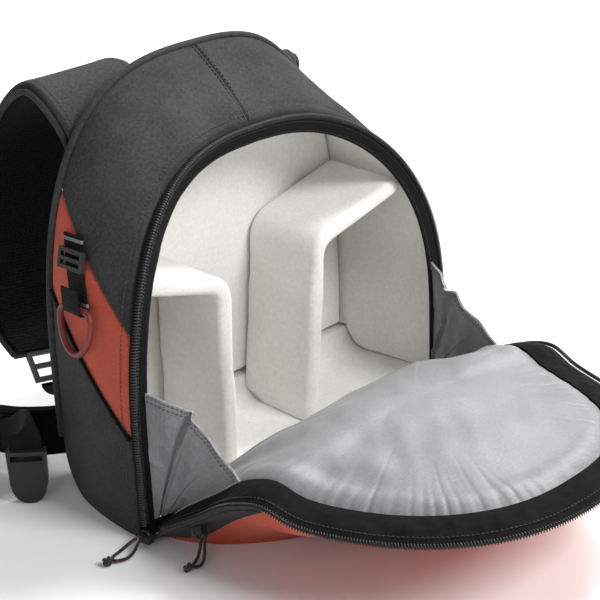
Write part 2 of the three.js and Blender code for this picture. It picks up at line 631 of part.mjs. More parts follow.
// A gusset: cloth between the opening's edge and the lid's band, folded inward between them
function buildGusset(side, name) {
  const rimSide = (k) => {
    const z = lerp(GUSSET_LOW, GUSSET_HEIGHT, k);
    const along = alongAtHeight(z, 1);
    const p = tapePoint(along, TAPE_WIDTH - GUSSET_LAP, SEAM_GAP * 2 + TAPE_THICK + GUSSET_CLEAR);
    return new THREE.Vector3(-p.x * side, p.y, z);
  };
  const first = 0.975;
  const last = 1 - Math.asin(GUSSET_REACH) / (Math.PI / 2);
  const lidSide = (k) => {
    const p = lidBand(lerp(first, last, k), BAND_WIDTH - GUSSET_LAP);
    return new THREE.Vector3(p.x * side, p.y, p.z + THIN_CLOTH + GUSSET_CLEAR);
  };
  const surface = (a, b) => {
    const p = rimSide(a).lerp(lidSide(a), b);
    const fold = GUSSET_FOLD * a * Math.min(b / GUSSET_CREASE, (1 - b) / (1 - GUSSET_CREASE));
    p.x -= side * fold;
    p.z += fold * GUSSET_LIFT;
    return p;
  };
  const rows = steps(5, 0.02, 1);
  const cols = steps(5);
  const grid = (offset) => rows.map((a) => cols.map((b) => {
    const h = 0.01;
    const da = surface(Math.min(1, a + h), b).sub(surface(Math.max(0, a - h), b));
    const db = surface(a, Math.min(1, b + h)).sub(surface(a, Math.max(0, b - h)));
    const n = new THREE.Vector3().crossVectors(da, db).normalize();
    if (n.x * side > 0) n.negate();
    return surface(a, b).addScaledVector(n, offset);
  }));
  return addPiece(name, wall(grid(0), grid(THIN_CLOTH)), finish(shade.silver, 0.55));
}

// Rectangular frame with one bar across, seen flat, for a ladder lock or a glide
function barFrame(width, height, thick, rim) {
  const shape = new THREE.Shape();
  shape.moveTo(-width / 2, -height / 2).lineTo(width / 2, -height / 2);
  shape.lineTo(width / 2, height / 2).lineTo(-width / 2, height / 2).closePath();
  const slot = (height - rim * 3) / 2;
  for (const low of [rim - height / 2, rim / 2]) {
    const hole = new THREE.Path();
    hole.moveTo(-width / 2 + rim, low).lineTo(-width / 2 + rim, low + slot);
    hole.lineTo(width / 2 - rim, low + slot).lineTo(width / 2 - rim, low).closePath();
    shape.holes.push(hole);
  }
  return new THREE.ExtrudeGeometry(shape, { depth: thick, bevelEnabled: false });
}

// Places a flat piece drawn in XY so that its X, Y and Z lie along three directions at a point
function place(geometry, origin, xAxis, yAxis) {
  const zAxis = new THREE.Vector3().crossVectors(xAxis, yAxis);
  const matrix = new THREE.Matrix4().makeBasis(xAxis, yAxis, zAxis).setPosition(origin);
  return geometry.applyMatrix4(matrix);
}

// Plastic ring with a straight top bar and an oval bottom, drawn flat with the bar at the origin
function deeRing() {
  const drop = RING_HALF - GEAR_WEB_WIDTH / 2 - 1;
  const bar = RING_HALF - drop;
  const path = [
    ...steps(3, -Math.PI / 2, 0).map((a) => [bar + drop * Math.cos(a), drop + drop * Math.sin(a)]),
    ...steps(12, 0, Math.PI).slice(1, -1)
      .map((a) => [RING_HALF * Math.cos(a), drop + (RING_TALL - drop) * Math.sin(a)]),
    ...steps(3, Math.PI, Math.PI * 1.5).map((a) => [-bar + drop * Math.cos(a), drop + drop * Math.sin(a)]),
  ].map(([x, y]) => new THREE.Vector3(x, y, 0));
  const sides = 8;
  const points = path.flatMap((p, i) => {
    const before = path[(i + path.length - 1) % path.length];
    const run = path[(i + 1) % path.length].clone().sub(before).normalize();
    const out = new THREE.Vector3(run.y, -run.x, 0);
    return Array.from({ length: sides }, (_, j) => {
      const a = (j / sides) * Math.PI * 2;
      return p.clone().addScaledVector(out, RING_WIRE * Math.cos(a)).setZ(RING_WIRE * Math.sin(a));
    });
  });
  const triangles = path.flatMap((_, i) => Array.from({ length: sides }, (_unused, j) => {
    const at = (r, c) => ((i + r) % path.length) * sides + ((j + c) % sides);
    return [[at(0, 0), at(1, 0), at(1, 1)], [at(0, 0), at(1, 1), at(0, 1)]];
  })).flat();
  return closedGeometry(points, triangles);
}

function buildGearLoop() {
  const frameAt = (z) => {
    const k = (GEAR_TOP - z) / (GEAR_TOP - GEAR_LOW);
    const deep = lerp(GEAR_TOP_SHARE, GEAR_LOW_SHARE, k);
    const along = alongAtHeight(z, deep);
    const point = bodyPoint(along, deep, 0);
    const out = point.clone().sub(bodyPoint(along, deep, 1)).normalize();
    const down = bodyPoint(alongAtHeight(z - 4, deep), deep, 0).sub(point).normalize();
    const across = new THREE.Vector3().crossVectors(down, out).normalize();
    return { point, out, down, across };
  };
  // The webbing runs down, round the ring's wire and a little way back up
  const wire = RING_WIRE + GEAR_WEB_THICK / 2 + SEAM_GAP;
  const layer = GEAR_WEB_THICK / 2 + GEAR_STANDOFF;
  const line = [];
  for (const z of steps(5, GEAR_TOP, GEAR_LOW)) line.push({ ...frameAt(z), off: layer });
  const turn = frameAt(GEAR_LOW);
  for (const a of steps(5, 0, Math.PI).slice(1)) {
    const point = turn.point.clone().addScaledVector(turn.down, wire * Math.sin(a));
    line.push({ ...turn, point, off: layer + wire - wire * Math.cos(a) });
  }
  line.push({ ...frameAt(GEAR_LOW + RING_TUCK), off: layer + wire * 1.9 });
  const sections = line.map(({ point, out, across, off }, i) => {
    const centre = point.clone().addScaledVector(out, off);
    const near = line[Math.max(0, i - 1)];
    const next = line[Math.min(line.length - 1, i + 1)];
    const run = next.point.clone().addScaledVector(next.out, next.off)
      .sub(near.point.clone().addScaledVector(near.out, near.off)).normalize();
    const up = new THREE.Vector3().crossVectors(across, run).normalize();
    return [[-1, -1], [1, -1], [1, 1], [-1, 1]].map(([w, h]) => centre.clone()
      .addScaledVector(across, w * GEAR_WEB_WIDTH / 2).addScaledVector(up, h * GEAR_WEB_THICK / 2));
  });
  addPiece('gear_webbing', loft(sections), finish(shade.black));

  const hang = turn.point.clone().addScaledVector(turn.out, layer + wire);
  addPiece('gear_ring', place(deeRing(), hang, turn.across, turn.down), finish(shade.red, 0.4));

  const over = frameAt((GEAR_TOP + GEAR_LOW) / 2 + GLIDE_HEIGHT / 2);
  const glide = barFrame(GLIDE_WIDTH, GLIDE_HEIGHT, GLIDE_THICK, GLIDE_RIM);
  const spot = over.point.clone().addScaledVector(over.out, layer + GEAR_WEB_THICK / 2 + SEAM_GAP);
  addPiece('gear_glide', place(glide, spot, over.across, over.down), finish(shade.black, 0.4));
}

// A flat band along a line of points, with a direction for its width at each. Its far face is
// narrower by the bevel on each side.
function band(line, near, far, bevel = 0) {
  return loft(line.map(({ p, wide, out, half }) => [[-1, near], [1, near], [1, far], [-1, far]]
    .map(([w, t]) => p.clone()
      .addScaledVector(wide, w * (t === far ? half - bevel : half)).addScaledVector(out, t))));
}

// Samples a table of named shares along a smooth curve
function smoothLine(rows, pointOf, count) {
  const curve = new THREE.CatmullRomCurve3(rows.map(pointOf), false, 'centripetal');
  return steps(count).map((k) => ({ k, p: curve.getPoint(k), run: curve.getTangent(k) }));
}

const shareAt = (rows, key, k) => {
  const f = k * (rows.length - 1);
  const i = Math.min(rows.length - 2, Math.floor(f));
  return lerp(rows[i][key], rows[i + 1][key], f - i);
};

function buildShoulderStrap(side, tag, stands) {
  const root = STRAP_LINE[0].up;
  const samples = smoothLine(STRAP_LINE, ({ out, back, up }) => {
    const rise = up > root ? lerp(1, stands, Math.min(1, back / STRAP_SETTLE)) : 1;
    const z = BACK_TOP * (root + (up - root) * rise);
    return new THREE.Vector3(side * STRAP_SPREAD * out, STRAP_ROOT + STRAP_REACH * back, z);
  }, 22);
  const line = samples.map(({ k, p, run }) => {
    const wide = X_AXIS.clone().addScaledVector(run, -run.x).normalize();
    const out = new THREE.Vector3().crossVectors(wide, run).normalize();
    return { p, wide, out, half: STRAP_WIDTH * shareAt(STRAP_LINE, 'width', k) / 2 };
  });
  addPiece(`strap_${tag}`, band(line, 0, STRAP_THICK, STRAP_BEVEL), finish(shade.grey));
  const mesh = band(line, -SEAM_GAP, -SEAM_GAP - MESH_THICK, STRAP_BEVEL);
  addPiece(`strap_mesh_${tag}`, mesh, finish(shade.black));

  // Ladder lock at the strap's end and webbing from there to the bag's lower corner
  const end = line[line.length - 1];
  const run = samples[samples.length - 1].run;
  const lock = barFrame(LADDER_WIDTH, LADDER_HEIGHT, LADDER_THICK, LADDER_RIM);
  const lockAt = end.p.clone().addScaledVector(run, LADDER_HEIGHT / 2 + SEAM_GAP);
  const placed = place(lock, lockAt, end.wide, run.clone().negate());
  addPiece(`strap_ladder_${tag}`, placed, finish(shade.black, 0.4));
  const from = end.p.clone().addScaledVector(run, LADDER_HEIGHT + SEAM_GAP * 2 + 1);
  const sewn = WING_LOW + WING_HEIGHT + STRAP_WEB_RISE;
  const to = new THREE.Vector3(side * (BACK_HALF - WEB_WIDTH), WEB_THICK + SEAM_GAP * 2, sewn);
  const mid = from.clone().addScaledVector(run, STRAP_WEB_LEAD);
  const curve = new THREE.QuadraticBezierCurve3(from, mid, to);
  const web = steps(7).map((k) => {
    const tangent = curve.getTangent(k);
    const wide = X_AXIS.clone().addScaledVector(tangent, -tangent.x).normalize();
    const out = new THREE.Vector3().crossVectors(wide, tangent);
    return { p: curve.getPoint(k), wide, out, half: WEB_WIDTH / 2 };
  });
  addPiece(`strap_webbing_${tag}`, band(web, 0, WEB_THICK), finish(shade.black));
}

function buildHipWing(side, tag) {
  const samples = smoothLine(WING_LINE, ({ out, back }) => new THREE.Vector3(
    side * WING_SPREAD * out,
    WING_THICK / 2 + SEAM_GAP + WING_REACH * back,
    WING_LOW + WING_HEIGHT / 2,
  ), 12);
  const line = samples.map(({ k, p, run }) => ({
    p,
    wide: Z_AXIS,
    out: new THREE.Vector3().crossVectors(Z_AXIS, run).normalize().multiplyScalar(-side),
    half: WING_HEIGHT * shareAt(WING_LINE, 'height', k) / 2,
  }));
  addPiece(`hip_wing_${tag}`, band(line, -WING_THICK / 2, WING_THICK / 2, 2), finish(shade.black));

  // Webbing from the wing's outer face, twisting forward and down to half a buckle
  const middle = line.length >> 1;
  const root = line[middle];
  const off = WING_THICK / 2 + WEB_THICK / 2 + SEAM_GAP * 2;
  const start = root.p.clone().addScaledVector(root.out, off);
  const hang = BUCKLE_LENGTH + FLOOR_CLEAR;
  const top = new THREE.Vector3(side * (WING_SPREAD + BUCKLE_OUT), BUCKLE_BACK, hang + SEAM_GAP * 2);
  const curve = new THREE.CubicBezierCurve3(start,
    start.clone().addScaledVector(samples[middle].run, -HIP_WEB_PULL).addScaledVector(root.out, off / 2),
    top.clone().add(new THREE.Vector3(0, 1, HIP_WEB_DROP)), top);
  const face = new THREE.Vector3(1, side * 0.9, 0).normalize();
  const web = steps(8).map((k) => {
    const run = curve.getTangent(k);
    const wide = Z_AXIS.clone().lerp(face.clone().multiplyScalar(-side), k ** 3);
    wide.addScaledVector(run, -wide.dot(run)).normalize();
    const out = new THREE.Vector3().crossVectors(wide, run);
    return { p: curve.getPoint(k), wide, out, half: WEB_WIDTH / 2 };
  });
  addPiece(`hip_webbing_${tag}`, band(web, -WEB_THICK / 2, WEB_THICK / 2), finish(shade.black));

  const shape = new THREE.Shape();
  const half = BUCKLE_WIDTH / 2;
  shape.moveTo(-half, 0).lineTo(half, 0).lineTo(half * 0.94, -BUCKLE_LENGTH * 0.62);
  shape.quadraticCurveTo(half * 0.8, -BUCKLE_LENGTH, 0, -BUCKLE_LENGTH);
  shape.quadraticCurveTo(-half * 0.8, -BUCKLE_LENGTH, -half * 0.94, -BUCKLE_LENGTH * 0.62).closePath();
  const slot = new THREE.Path();
  const inside = half - BUCKLE_BAR;
  slot.moveTo(-inside, -BUCKLE_BAR).lineTo(-inside, -BUCKLE_BAR - BUCKLE_SLOT);
  slot.lineTo(inside, -BUCKLE_BAR - BUCKLE_SLOT).lineTo(inside, -BUCKLE_BAR).closePath();
  shape.holes.push(slot);
  const options = { depth: BUCKLE_THICK, bevelEnabled: false, curveSegments: 5 };
  const body = new THREE.ExtrudeGeometry(shape, options).translate(0, 0, -BUCKLE_THICK / 2);
  const placed = place(body, top.clone().setZ(hang), face, Z_AXIS);
  addPiece(`hip_buckle_${tag}`, placed, finish(shade.black, 0.35));
}

// Padded panel on the back, with a round edge
function buildBackPad() {
  const low = WING_LOW + WING_HEIGHT + BACK_PAD_LOW;
  const left = alongAtHeight(low + BACK_PAD_MARGIN, 0);
  const top = BACK_TOP * STRAP_LINE[0].up - BACK_PAD_THICK / 2;
  const outline = steps(22, left, -left).map((along) => {
    const p = bodySkin(along, 0);
    const z = lerp(low, top, (p.z - low) / (BACK_TOP - low));
    return new THREE.Vector2(p.x * (1 - BACK_PAD_MARGIN / BACK_HALF), z);
  });
  const round = BACK_PAD_THICK / 3;
  const geometry = new THREE.ExtrudeGeometry(new THREE.Shape(outline), {
    depth: BACK_PAD_THICK - round * 2,
    bevelThickness: round,
    bevelSize: round,
    bevelOffset: -round,
    bevelSegments: 2,
  });
  geometry.rotateX(Math.PI / 2).rotateZ(Math.PI);
  return geometry.translate(0, SEAM_GAP + round, 0);
}

// Zip slider: a small rounded plate with its long side along Y, centred on the origin
function sliderGeometry() {
  const half = SLIDER_WIDTH / 2;
  const shape = new THREE.Shape();
  shape.moveTo(-half * 0.6, -SLIDER_LENGTH / 2).lineTo(half * 0.6, -SLIDER_LENGTH / 2);
  const wide = SLIDER_LENGTH * SLIDER_WIDE;
  shape.lineTo(half, wide).quadraticCurveTo(half, SLIDER_LENGTH / 2, 0, SLIDER_LENGTH / 2);
  shape.quadraticCurveTo(-half, SLIDER_LENGTH / 2, -half, wide).closePath();
  const options = { depth: SLIDER_HEIGHT, bevelEnabled: false, curveSegments: 4 };
  return new THREE.ExtrudeGeometry(shape, options).translate(0, 0, -SLIDER_HEIGHT / 2);
}

// A cord loop from a slider's edge out to a knot. along is the direction between its two legs.
function buildPull(tag, table, from, along, reach) {
  const cord = finish(shade.black, 0.8);
  const away = new THREE.Vector3(-1, 0, 0);
  const low = CORD_RADIUS * 2;
  const leg = (sign) => table.map((row) => from.clone()
    .addScaledVector(away, row.away * reach)
    .addScaledVector(along, sign * row.spread * CORD_SPREAD)
    .setZ(lerp(low, from.z, row.up)));
  const far = from.clone().addScaledVector(away, reach).setZ(low);
  const route = [...leg(1), far, ...leg(-1).reverse()];
  addPiece(`pull_cord_${tag}`, tube(route, CORD_RADIUS, 8, 26), cord, cords);
  const knot = new THREE.SphereGeometry(KNOT_RADIUS, 8, 6).rotateX(Math.PI / 2);
  far.addScaledVector(away, KNOT_RADIUS + CORD_RADIUS + FLOOR_CLEAR / 3).setZ(KNOT_RADIUS + FLOOR_CLEAR);
  addPiece(`pull_knot_${tag}`, knot.translate(...far.toArray()), cord, cords);
}

function buildSliders() {
  const black = finish(shade.black, 0.4, 0.3);
  const edge = SLIDER_WIDTH / 2 + SEAM_GAP * 1.5;
  const centre = new THREE.Vector3(-LID_HALF - SLIDER_WIDTH / 2,
    HINGE_Y - SLIDER_LENGTH / 2 - SEAM_GAP * 1.5, SLIDER_LOW + SLIDER_HEIGHT / 2);
  addPiece('slider_main', sliderGeometry().translate(...centre.toArray()), black);
  const wide = SLIDER_LENGTH * SLIDER_WIDE;
  const from = centre.clone().add(new THREE.Vector3(-edge, wide, 0));
  buildPull('main', MAIN_PULL, from, Y_AXIS, MAIN_REACH);

  // The pocket's slider lies on the lid's flank
  const at = (turn, down) => lidUnder(-POCKET_AROUND - turn, POCKET_DOWN + down);
  const run = at(0.02, 0).sub(at(-0.02, 0)).normalize();
  const fall = at(0, 0.06).sub(at(0, -0.06)).normalize();
  const out = new THREE.Vector3().crossVectors(run, fall).normalize();
  if (out.x > 0) out.negate();
  const across = new THREE.Vector3().crossVectors(run, out).normalize();
  const down = across.clone().multiplyScalar(-Math.sign(across.z));
  const point = at(0, 0).addScaledVector(out, SLIDER_HEIGHT / 2 + SEAM_GAP * 3 + POCKET_THICK);
  addPiece('slider_pocket', place(sliderGeometry(), point, across, run), black);
  const hang = point.clone().addScaledVector(down, edge + CORD_RADIUS).addScaledVector(run, wide)
    .addScaledVector(out, SLIDER_HEIGHT / 3);
  buildPull('pocket', POCKET_PULL, hang, run, POCKET_REACH);
}

// Bound seam that joins the lid to the base
function buildHingeSeam() {
  const front = -BODY_DEPTH - SEAM_GAP;
  const half = LID_HALF - TAPE_WIDTH - SEAM_GAP * 2;
  const depth = front - HINGE_Y - SEAM_GAP;
  const seam = new THREE.BoxGeometry(half * 2, depth, CLOTH);
  seam.translate(0, front - depth / 2, CLOTH / 2 + FLOOR_CLEAR);
  addPiece('lid_seam', seam, finish(shade.black));
}

buildBody();
buildRim();
buildDividers();
buildLid();
buildGusset(-1, 'gusset_left');
buildGusset(1, 'gusset_right');
buildGearLoop();
buildHingeSeam();
buildSliders();
addPiece('back_pad', buildBackPad(), finish(shade.black));
for (const [side, tag] of [[-1, 'left'], [1, 'right']]) {
  buildShoulderStrap(side, tag, side < 0 ? 1 : RIGHT_STANDS);
  buildHipWing(side, tag);
}

// The origin is under the middle of the bag, on the floor, leaving out the cord pulls
const box = new THREE.Box3().setFromObject(bag);
const part = new THREE.Group();
part.add(bag, cords);
part.position.set(-(box.min.x + box.max.x) / 2, -(box.min.y + box.max.y) / 2, -box.min.z);
export default part;
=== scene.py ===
"""Looks of a camera backpack that stands unzipped, with its front lid laid forward on the floor.

The bag's own lengths are in millimetres, with y measured from its back wall, as in the solids' source.
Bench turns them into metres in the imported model's frame.
"""

from __future__ import annotations

import json
import logging
import math
from collections.abc import Callable, Sequence
from dataclasses import dataclass, field
from enum import Enum

import bmesh
import bpy
import numpy as np
from mathutils import Matrix, Vector

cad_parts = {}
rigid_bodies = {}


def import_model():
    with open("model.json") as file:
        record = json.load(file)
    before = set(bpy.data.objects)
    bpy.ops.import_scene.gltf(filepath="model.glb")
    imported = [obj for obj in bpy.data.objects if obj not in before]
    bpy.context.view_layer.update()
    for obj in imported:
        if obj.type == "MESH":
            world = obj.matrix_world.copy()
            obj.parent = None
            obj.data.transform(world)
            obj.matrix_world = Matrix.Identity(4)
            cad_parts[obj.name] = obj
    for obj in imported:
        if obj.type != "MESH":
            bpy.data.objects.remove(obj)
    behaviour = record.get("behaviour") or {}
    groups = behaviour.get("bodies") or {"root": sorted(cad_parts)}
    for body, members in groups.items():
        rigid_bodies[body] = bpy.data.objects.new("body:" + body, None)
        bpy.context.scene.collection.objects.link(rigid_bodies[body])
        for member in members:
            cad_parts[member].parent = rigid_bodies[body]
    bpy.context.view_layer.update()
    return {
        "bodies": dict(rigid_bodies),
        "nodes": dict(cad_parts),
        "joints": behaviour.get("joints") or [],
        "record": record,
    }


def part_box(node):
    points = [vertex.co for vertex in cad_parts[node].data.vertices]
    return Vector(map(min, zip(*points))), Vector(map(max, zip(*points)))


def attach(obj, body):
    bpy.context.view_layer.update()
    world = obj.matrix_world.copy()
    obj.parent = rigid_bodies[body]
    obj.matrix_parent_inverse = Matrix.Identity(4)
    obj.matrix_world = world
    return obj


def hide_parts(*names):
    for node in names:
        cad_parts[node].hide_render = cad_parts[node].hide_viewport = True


log = logging.getLogger("camera_backpack")

MM = 0.001


class Slot(str, Enum):
    """Material slots of the record."""

    GREY = "shell_grey"
    RED = "shell_red"
    SILVER = "lining_silver"
    PLUSH = "plush"
    TRIM = "trim_black"
    ZIP = "zip_coil"
    MESH = "air_mesh"
    WEB = "webbing"
    SLIDER = "slider_metal"
    RING = "ring_red"
    CORD = "cord_black"


class Side(Enum):
    """Left and right halves, with the sign of their x."""

    LEFT = -1
    RIGHT = 1

    @property
    def tag(self) -> str:
        """Word used in node names."""
        return self.name.lower()


# Small sums and curves.


def unit(v: np.ndarray) -> np.ndarray:
    """Vectors scaled to length one."""
    return v / np.maximum(np.linalg.norm(v, axis=-1, keepdims=True), 1e-12)


def mix(a: np.ndarray | float, b: np.ndarray | float, k: np.ndarray | float) -> np.ndarray | float:
    """Value at share k from a to b."""
    return a + (b - a) * k


def ripple(p: np.ndarray, scale: float, seed: int, octaves: int = 3) -> np.ndarray:
    """Smooth waves in space, the same on every run.

    Args:
        p: Points, in millimetres.
        scale: Size of the largest waves, in millimetres.
        seed: Picks one set of waves.
        octaves: How many finer sets are added.

    Returns:
        One height per point, mostly between -1 and 1.
    """
    rng = np.random.default_rng(seed)
    total = np.zeros(p.shape[:-1])
    for octave in range(octaves):
        for _ in range(5):
            direction = unit(rng.normal(size=3))
            wave = 2 * math.pi / (scale / 1.9**octave) * rng.uniform(0.7, 1.3)
            bend = 0.6 * np.sin(p @ unit(rng.normal(size=3)) * wave * 0.45 + rng.uniform(0, 6))
            total += np.sin(p @ direction * wave + bend + rng.uniform(0, 6)) * 0.5**octave / 3.2
    return total


def catmull(points: Sequence[Sequence[float]], shares: np.ndarray) -> np.ndarray:
    """Centripetal curve through points.

    Args:
        points: The points that it passes.
        shares: Places on it, from 0 to 1.

    Returns:
        One point for each share.
    """
    pts = np.asarray(points, float)
    last = len(pts) - 1
    out = []
    for share in np.clip(shares, 0, 1):
        place = share * last
        i = min(int(place), last - 1)
        w = place - i
        p1, p2 = pts[i], pts[i + 1]
        p0 = pts[i - 1] if i > 0 else 2 * p1 - p2
        p3 = pts[i + 2] if i + 2 <= last else 2 * p2 - p1
        d0, d1, d2 = (max(np.linalg.norm(b - a), 1e-6) ** 0.5 for a, b in ((p0, p1), (p1, p2), (p2, p3)))
        t1 = ((p1 - p0) / d0 - (p2 - p0) / (d0 + d1) + (p2 - p1) / d1) * d1
        t2 = ((p2 - p1) / d1 - (p3 - p1) / (d1 + d2) + (p3 - p2) / d2) * d1
        c2 = -3 * p1 + 3 * p2 - 2 * t1 - t2
        c3 = 2 * p1 - 2 * p2 + t1 + t2
        out.append(p1 + t1 * w + c2 * w**2 + c3 * w**3)
    return np.array(out)


def tangents(path: np.ndarray, closed: bool = False) -> np.ndarray:
    """Directions along a path, one for each of its points."""
    if closed:
        return unit(np.roll(path, -1, 0) - np.roll(path, 1, 0))
    return unit(np.gradient(path, axis=0))


def along_path(path: np.ndarray, pitch: float, start: float = 0.0) -> tuple[np.ndarray, np.ndarray]:
    """Evenly spaced places on a path.

    Args:
        path: Points of the path, in millimetres.
        pitch: Distance between places.
        start: Distance of the first from the path's start.

    Returns:
        The places, and their shares of the path's points.
    """
    run = np.concatenate([[0], np.cumsum(np.linalg.norm(np.diff(path, axis=0), axis=1))])
    at = np.arange(start, run[-1] - start, pitch)
    index = np.interp(at, run, np.arange(len(path)))
    return np.stack([np.interp(at, run, path[:, i]) for i in range(3)], 1), index


def normals(grid: np.ndarray, loop: bool = False) -> np.ndarray:
    """Unit normals of a grid of points."""
    du = np.gradient(grid, axis=0)
    if loop:
        dv = (np.roll(grid, -1, 1) - np.roll(grid, 1, 1)) / 2
    else:
        dv = np.gradient(grid, axis=1)
    n = unit(np.cross(du, dv))
    if np.linalg.norm(du[0], axis=-1).max() < 1e-9:
        n[0] = n[1].mean(0)
    return n


# Mesh making.


@dataclass
class Bench:
    """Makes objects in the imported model's frame from points in the bag's own millimetres."""

    back: float
    made: list[str] = field(default_factory=list)

    def place(self, points: np.ndarray) -> np.ndarray:
        """Points in metres in the model's frame."""
        return np.asarray(points, float) * MM + np.array([0, self.back, 0])

    def mesh(
        self,
        name: str,
        points: np.ndarray,
        faces: Sequence[Sequence[int]],
        uvs: np.ndarray | None = None,
        sharp: float = 42.0,
    ) -> bpy.types.Object:
        """One mesh object.

        Args:
            name: Name of the object.
            points: Vertices, in the bag's millimetres.
            faces: Vertex numbers of each face.
            uvs: Texture place of each vertex, in metres of cloth.
            sharp: Edges that turn by more than this many degrees stay sharp.

        Returns:
            The object, linked to the scene.
        """
        mesh = bpy.data.meshes.new(name)
        mesh.from_pydata(self.place(points).tolist(), [], [list(map(int, f)) for f in faces])
        if uvs is not None:
            layer = mesh.uv_layers.new(name="cloth")
            index = np.empty(len(mesh.loops), dtype=np.int32)
            mesh.loops.foreach_get("vertex_index", index)
            layer.data.foreach_set("uv", np.asarray(uvs, np.float32)[index].ravel())
        mesh.validate()
        mesh.shade_smooth()
        mesh.set_sharp_from_angle(angle=math.radians(sharp))
        obj = bpy.data.objects.new(f"{name}_detail" if name in bpy.data.objects else name, mesh)
        bpy.context.scene.collection.objects.link(obj)
        return obj

    def wall(
        self, name: str, front: np.ndarray, back: np.ndarray, loop: bool = False, sharp: float = 55.0
    ) -> bpy.types.Object:
        """Closed wall between two grids of points.

        Args:
            name: Name of the object.
            front: Rows and columns of points on the side that shows.
            back: The same on the other side.
            loop: Whether the columns close on themselves.
            sharp: Edges that turn by more than this many degrees stay sharp.

        Returns:
            The object.
        """
        rows, cols = front.shape[:2]
        u = np.cumsum(np.concatenate([[0], np.linalg.norm(np.diff(front, axis=0), axis=-1).mean(1)]))
        middle = front[rows // 2]
        v = np.cumsum(np.concatenate([[0], np.linalg.norm(np.diff(middle, axis=0), axis=-1)]))
        uv = np.stack(np.meshgrid(u, v, indexing="ij"), -1).reshape(-1, 2) * MM
        points = np.concatenate([front.reshape(-1, 3), back.reshape(-1, 3)])
        shift = rows * cols
        number = np.arange(shift).reshape(rows, cols)
        if loop:
            number = np.concatenate([number, number[:, :1]], 1)
        a, b, c, d = number[:-1, :-1], number[:-1, 1:], number[1:, 1:], number[1:, :-1]
        faces = [np.stack([a, b, c, d], -1).reshape(-1, 4), np.stack([a, d, c, b], -1).reshape(-1, 4) + shift]
        edges = [(number[0], 1), (number[-1], -1)]
        if not loop:
            edges += [(number[:, 0], -1), (number[:, -1], 1)]
        for line, turn in edges:
            e, f = (line[:-1], line[1:]) if turn > 0 else (line[1:], line[:-1])
            faces.append(np.stack([f, e, e + shift, f + shift], -1))
        obj = self.mesh(name, points, np.concatenate(faces).tolist(), np.concatenate([uv, uv]), sharp)
        return self.outward(obj)

    def outward(self, obj: bpy.types.Object) -> bpy.types.Object:
        """The same object with its faces turned out and doubled points joined."""
        work = bmesh.new()
        work.from_mesh(obj.data)
        bmesh.ops.remove_doubles(work, verts=work.verts, dist=1e-6)
        bmesh.ops.recalc_face_normals(work, faces=work.faces)
        work.to_mesh(obj.data)
        work.free()
        return obj

    def sweep(
        self, name: str, sections: np.ndarray, closed: bool = False, sharp: float = 50.0
    ) -> bpy.types.Object:
        """Solid through rows of closed sections.

        Args:
            name: Name of the object.
            sections: Rows of points around each section.
            closed: Whether the last section joins the first.
            sharp: Edges that turn by more than this many degrees stay sharp.

        Returns:
            The object.
        """
        rows, cols = sections.shape[:2]
        run = np.concatenate([[0], np.cumsum(np.linalg.norm(np.diff(sections.mean(1), axis=0), axis=-1))])
        rim = sections[rows // 2]
        around = np.concatenate([[0], np.cumsum(np.linalg.norm(np.diff(rim, axis=0), axis=-1))])
        uv = np.stack(np.meshgrid(run, around, indexing="ij"), -1).reshape(-1, 2) * MM
        number = np.arange(rows * cols).reshape(rows, cols)
        number = np.concatenate([number, number[:, :1]], 1)
        if closed:
            number = np.concatenate([number, number[:1]], 0)
        a, b, c, d = number[:-1, :-1], number[:-1, 1:], number[1:, 1:], number[1:, :-1]
        faces = np.stack([a, b, c, d], -1).reshape(-1, 4).tolist()
        if not closed:
            faces += [number[0, :-1][::-1].tolist(), number[-1, :-1].tolist()]
        return self.outward(self.mesh(name, sections.reshape(-1, 3), faces, uv, sharp))

    def tube(
        self, name: str, path: np.ndarray, radius: float | np.ndarray, sides: int = 10, closed: bool = False
    ) -> bpy.types.Object:
        """Round tube along a path, with a frame that doesn't twist."""
        run = tangents(path, closed)
        side = np.zeros_like(path)
        start = np.cross(run[0], [0.3, 0.2, 1.0])
        for i, t in enumerate(run):
            start = unit(start - t * (start @ t))
            side[i] = start
        other = np.cross(run, side)
        turn = np.linspace(0, 2 * math.pi, sides, endpoint=False)
        wide = np.broadcast_to(np.asarray(radius, float), (len(path),))[:, None, None]
        ring = side[:, None] * np.cos(turn)[None, :, None] + other[:, None] * np.sin(turn)[None, :, None]
        return self.sweep(name, path[:, None] + ring * wide, closed, sharp=60)

    def many(
        self, name: str, shape: np.ndarray, faces: Sequence[Sequence[int]], frames: np.ndarray,
        sharp: float = 30.0
    ) -> bpy.types.Object:
        """One joined mesh of many small equal pieces.

        Args:
            name: Name of the object.
            shape: Vertices of one piece, around its own origin.
            faces: Its faces.
            frames: For each piece its x, y and z directions and its place, as four rows.
            sharp: Edges that turn by more than this many degrees stay sharp.

        Returns:
            The object.
        """
        points = np.einsum("vi,nij->nvj", shape, frames[:, :3]) + frames[:, 3:4]
        index = np.arange(len(frames))[:, None] * len(shape)
        every = [[int(v + i) for v in face] for i in index[:, 0] for face in faces]
        return self.mesh(name, points.reshape(-1, 3), every, None, sharp)

    def settle(
        self,
        obj: bpy.types.Object,
        finish: "Finish",
        slot: Slot,
        *nodes: str,
        fill: float | None = None,
    ) -> bpy.types.Object:
        """Dresses a piece and ties it to the model.

        Args:
            obj: The piece.
            finish: What it is made of.
            slot: The record's slot that it belongs to. Not used.
            *nodes: The solids that it stands for.
            fill: How full it is, if it is padded. Not used.

        Returns:
            The same object.
        """
        obj.data.materials.clear()
        obj.data.materials.append(finish.material())
        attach(obj, "root")
        if nodes:
            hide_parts(*nodes)
        self.made.append(obj.name)
        log.info("%s: %d faces", obj.name, len(obj.data.polygons))
        return obj


# Finishes.


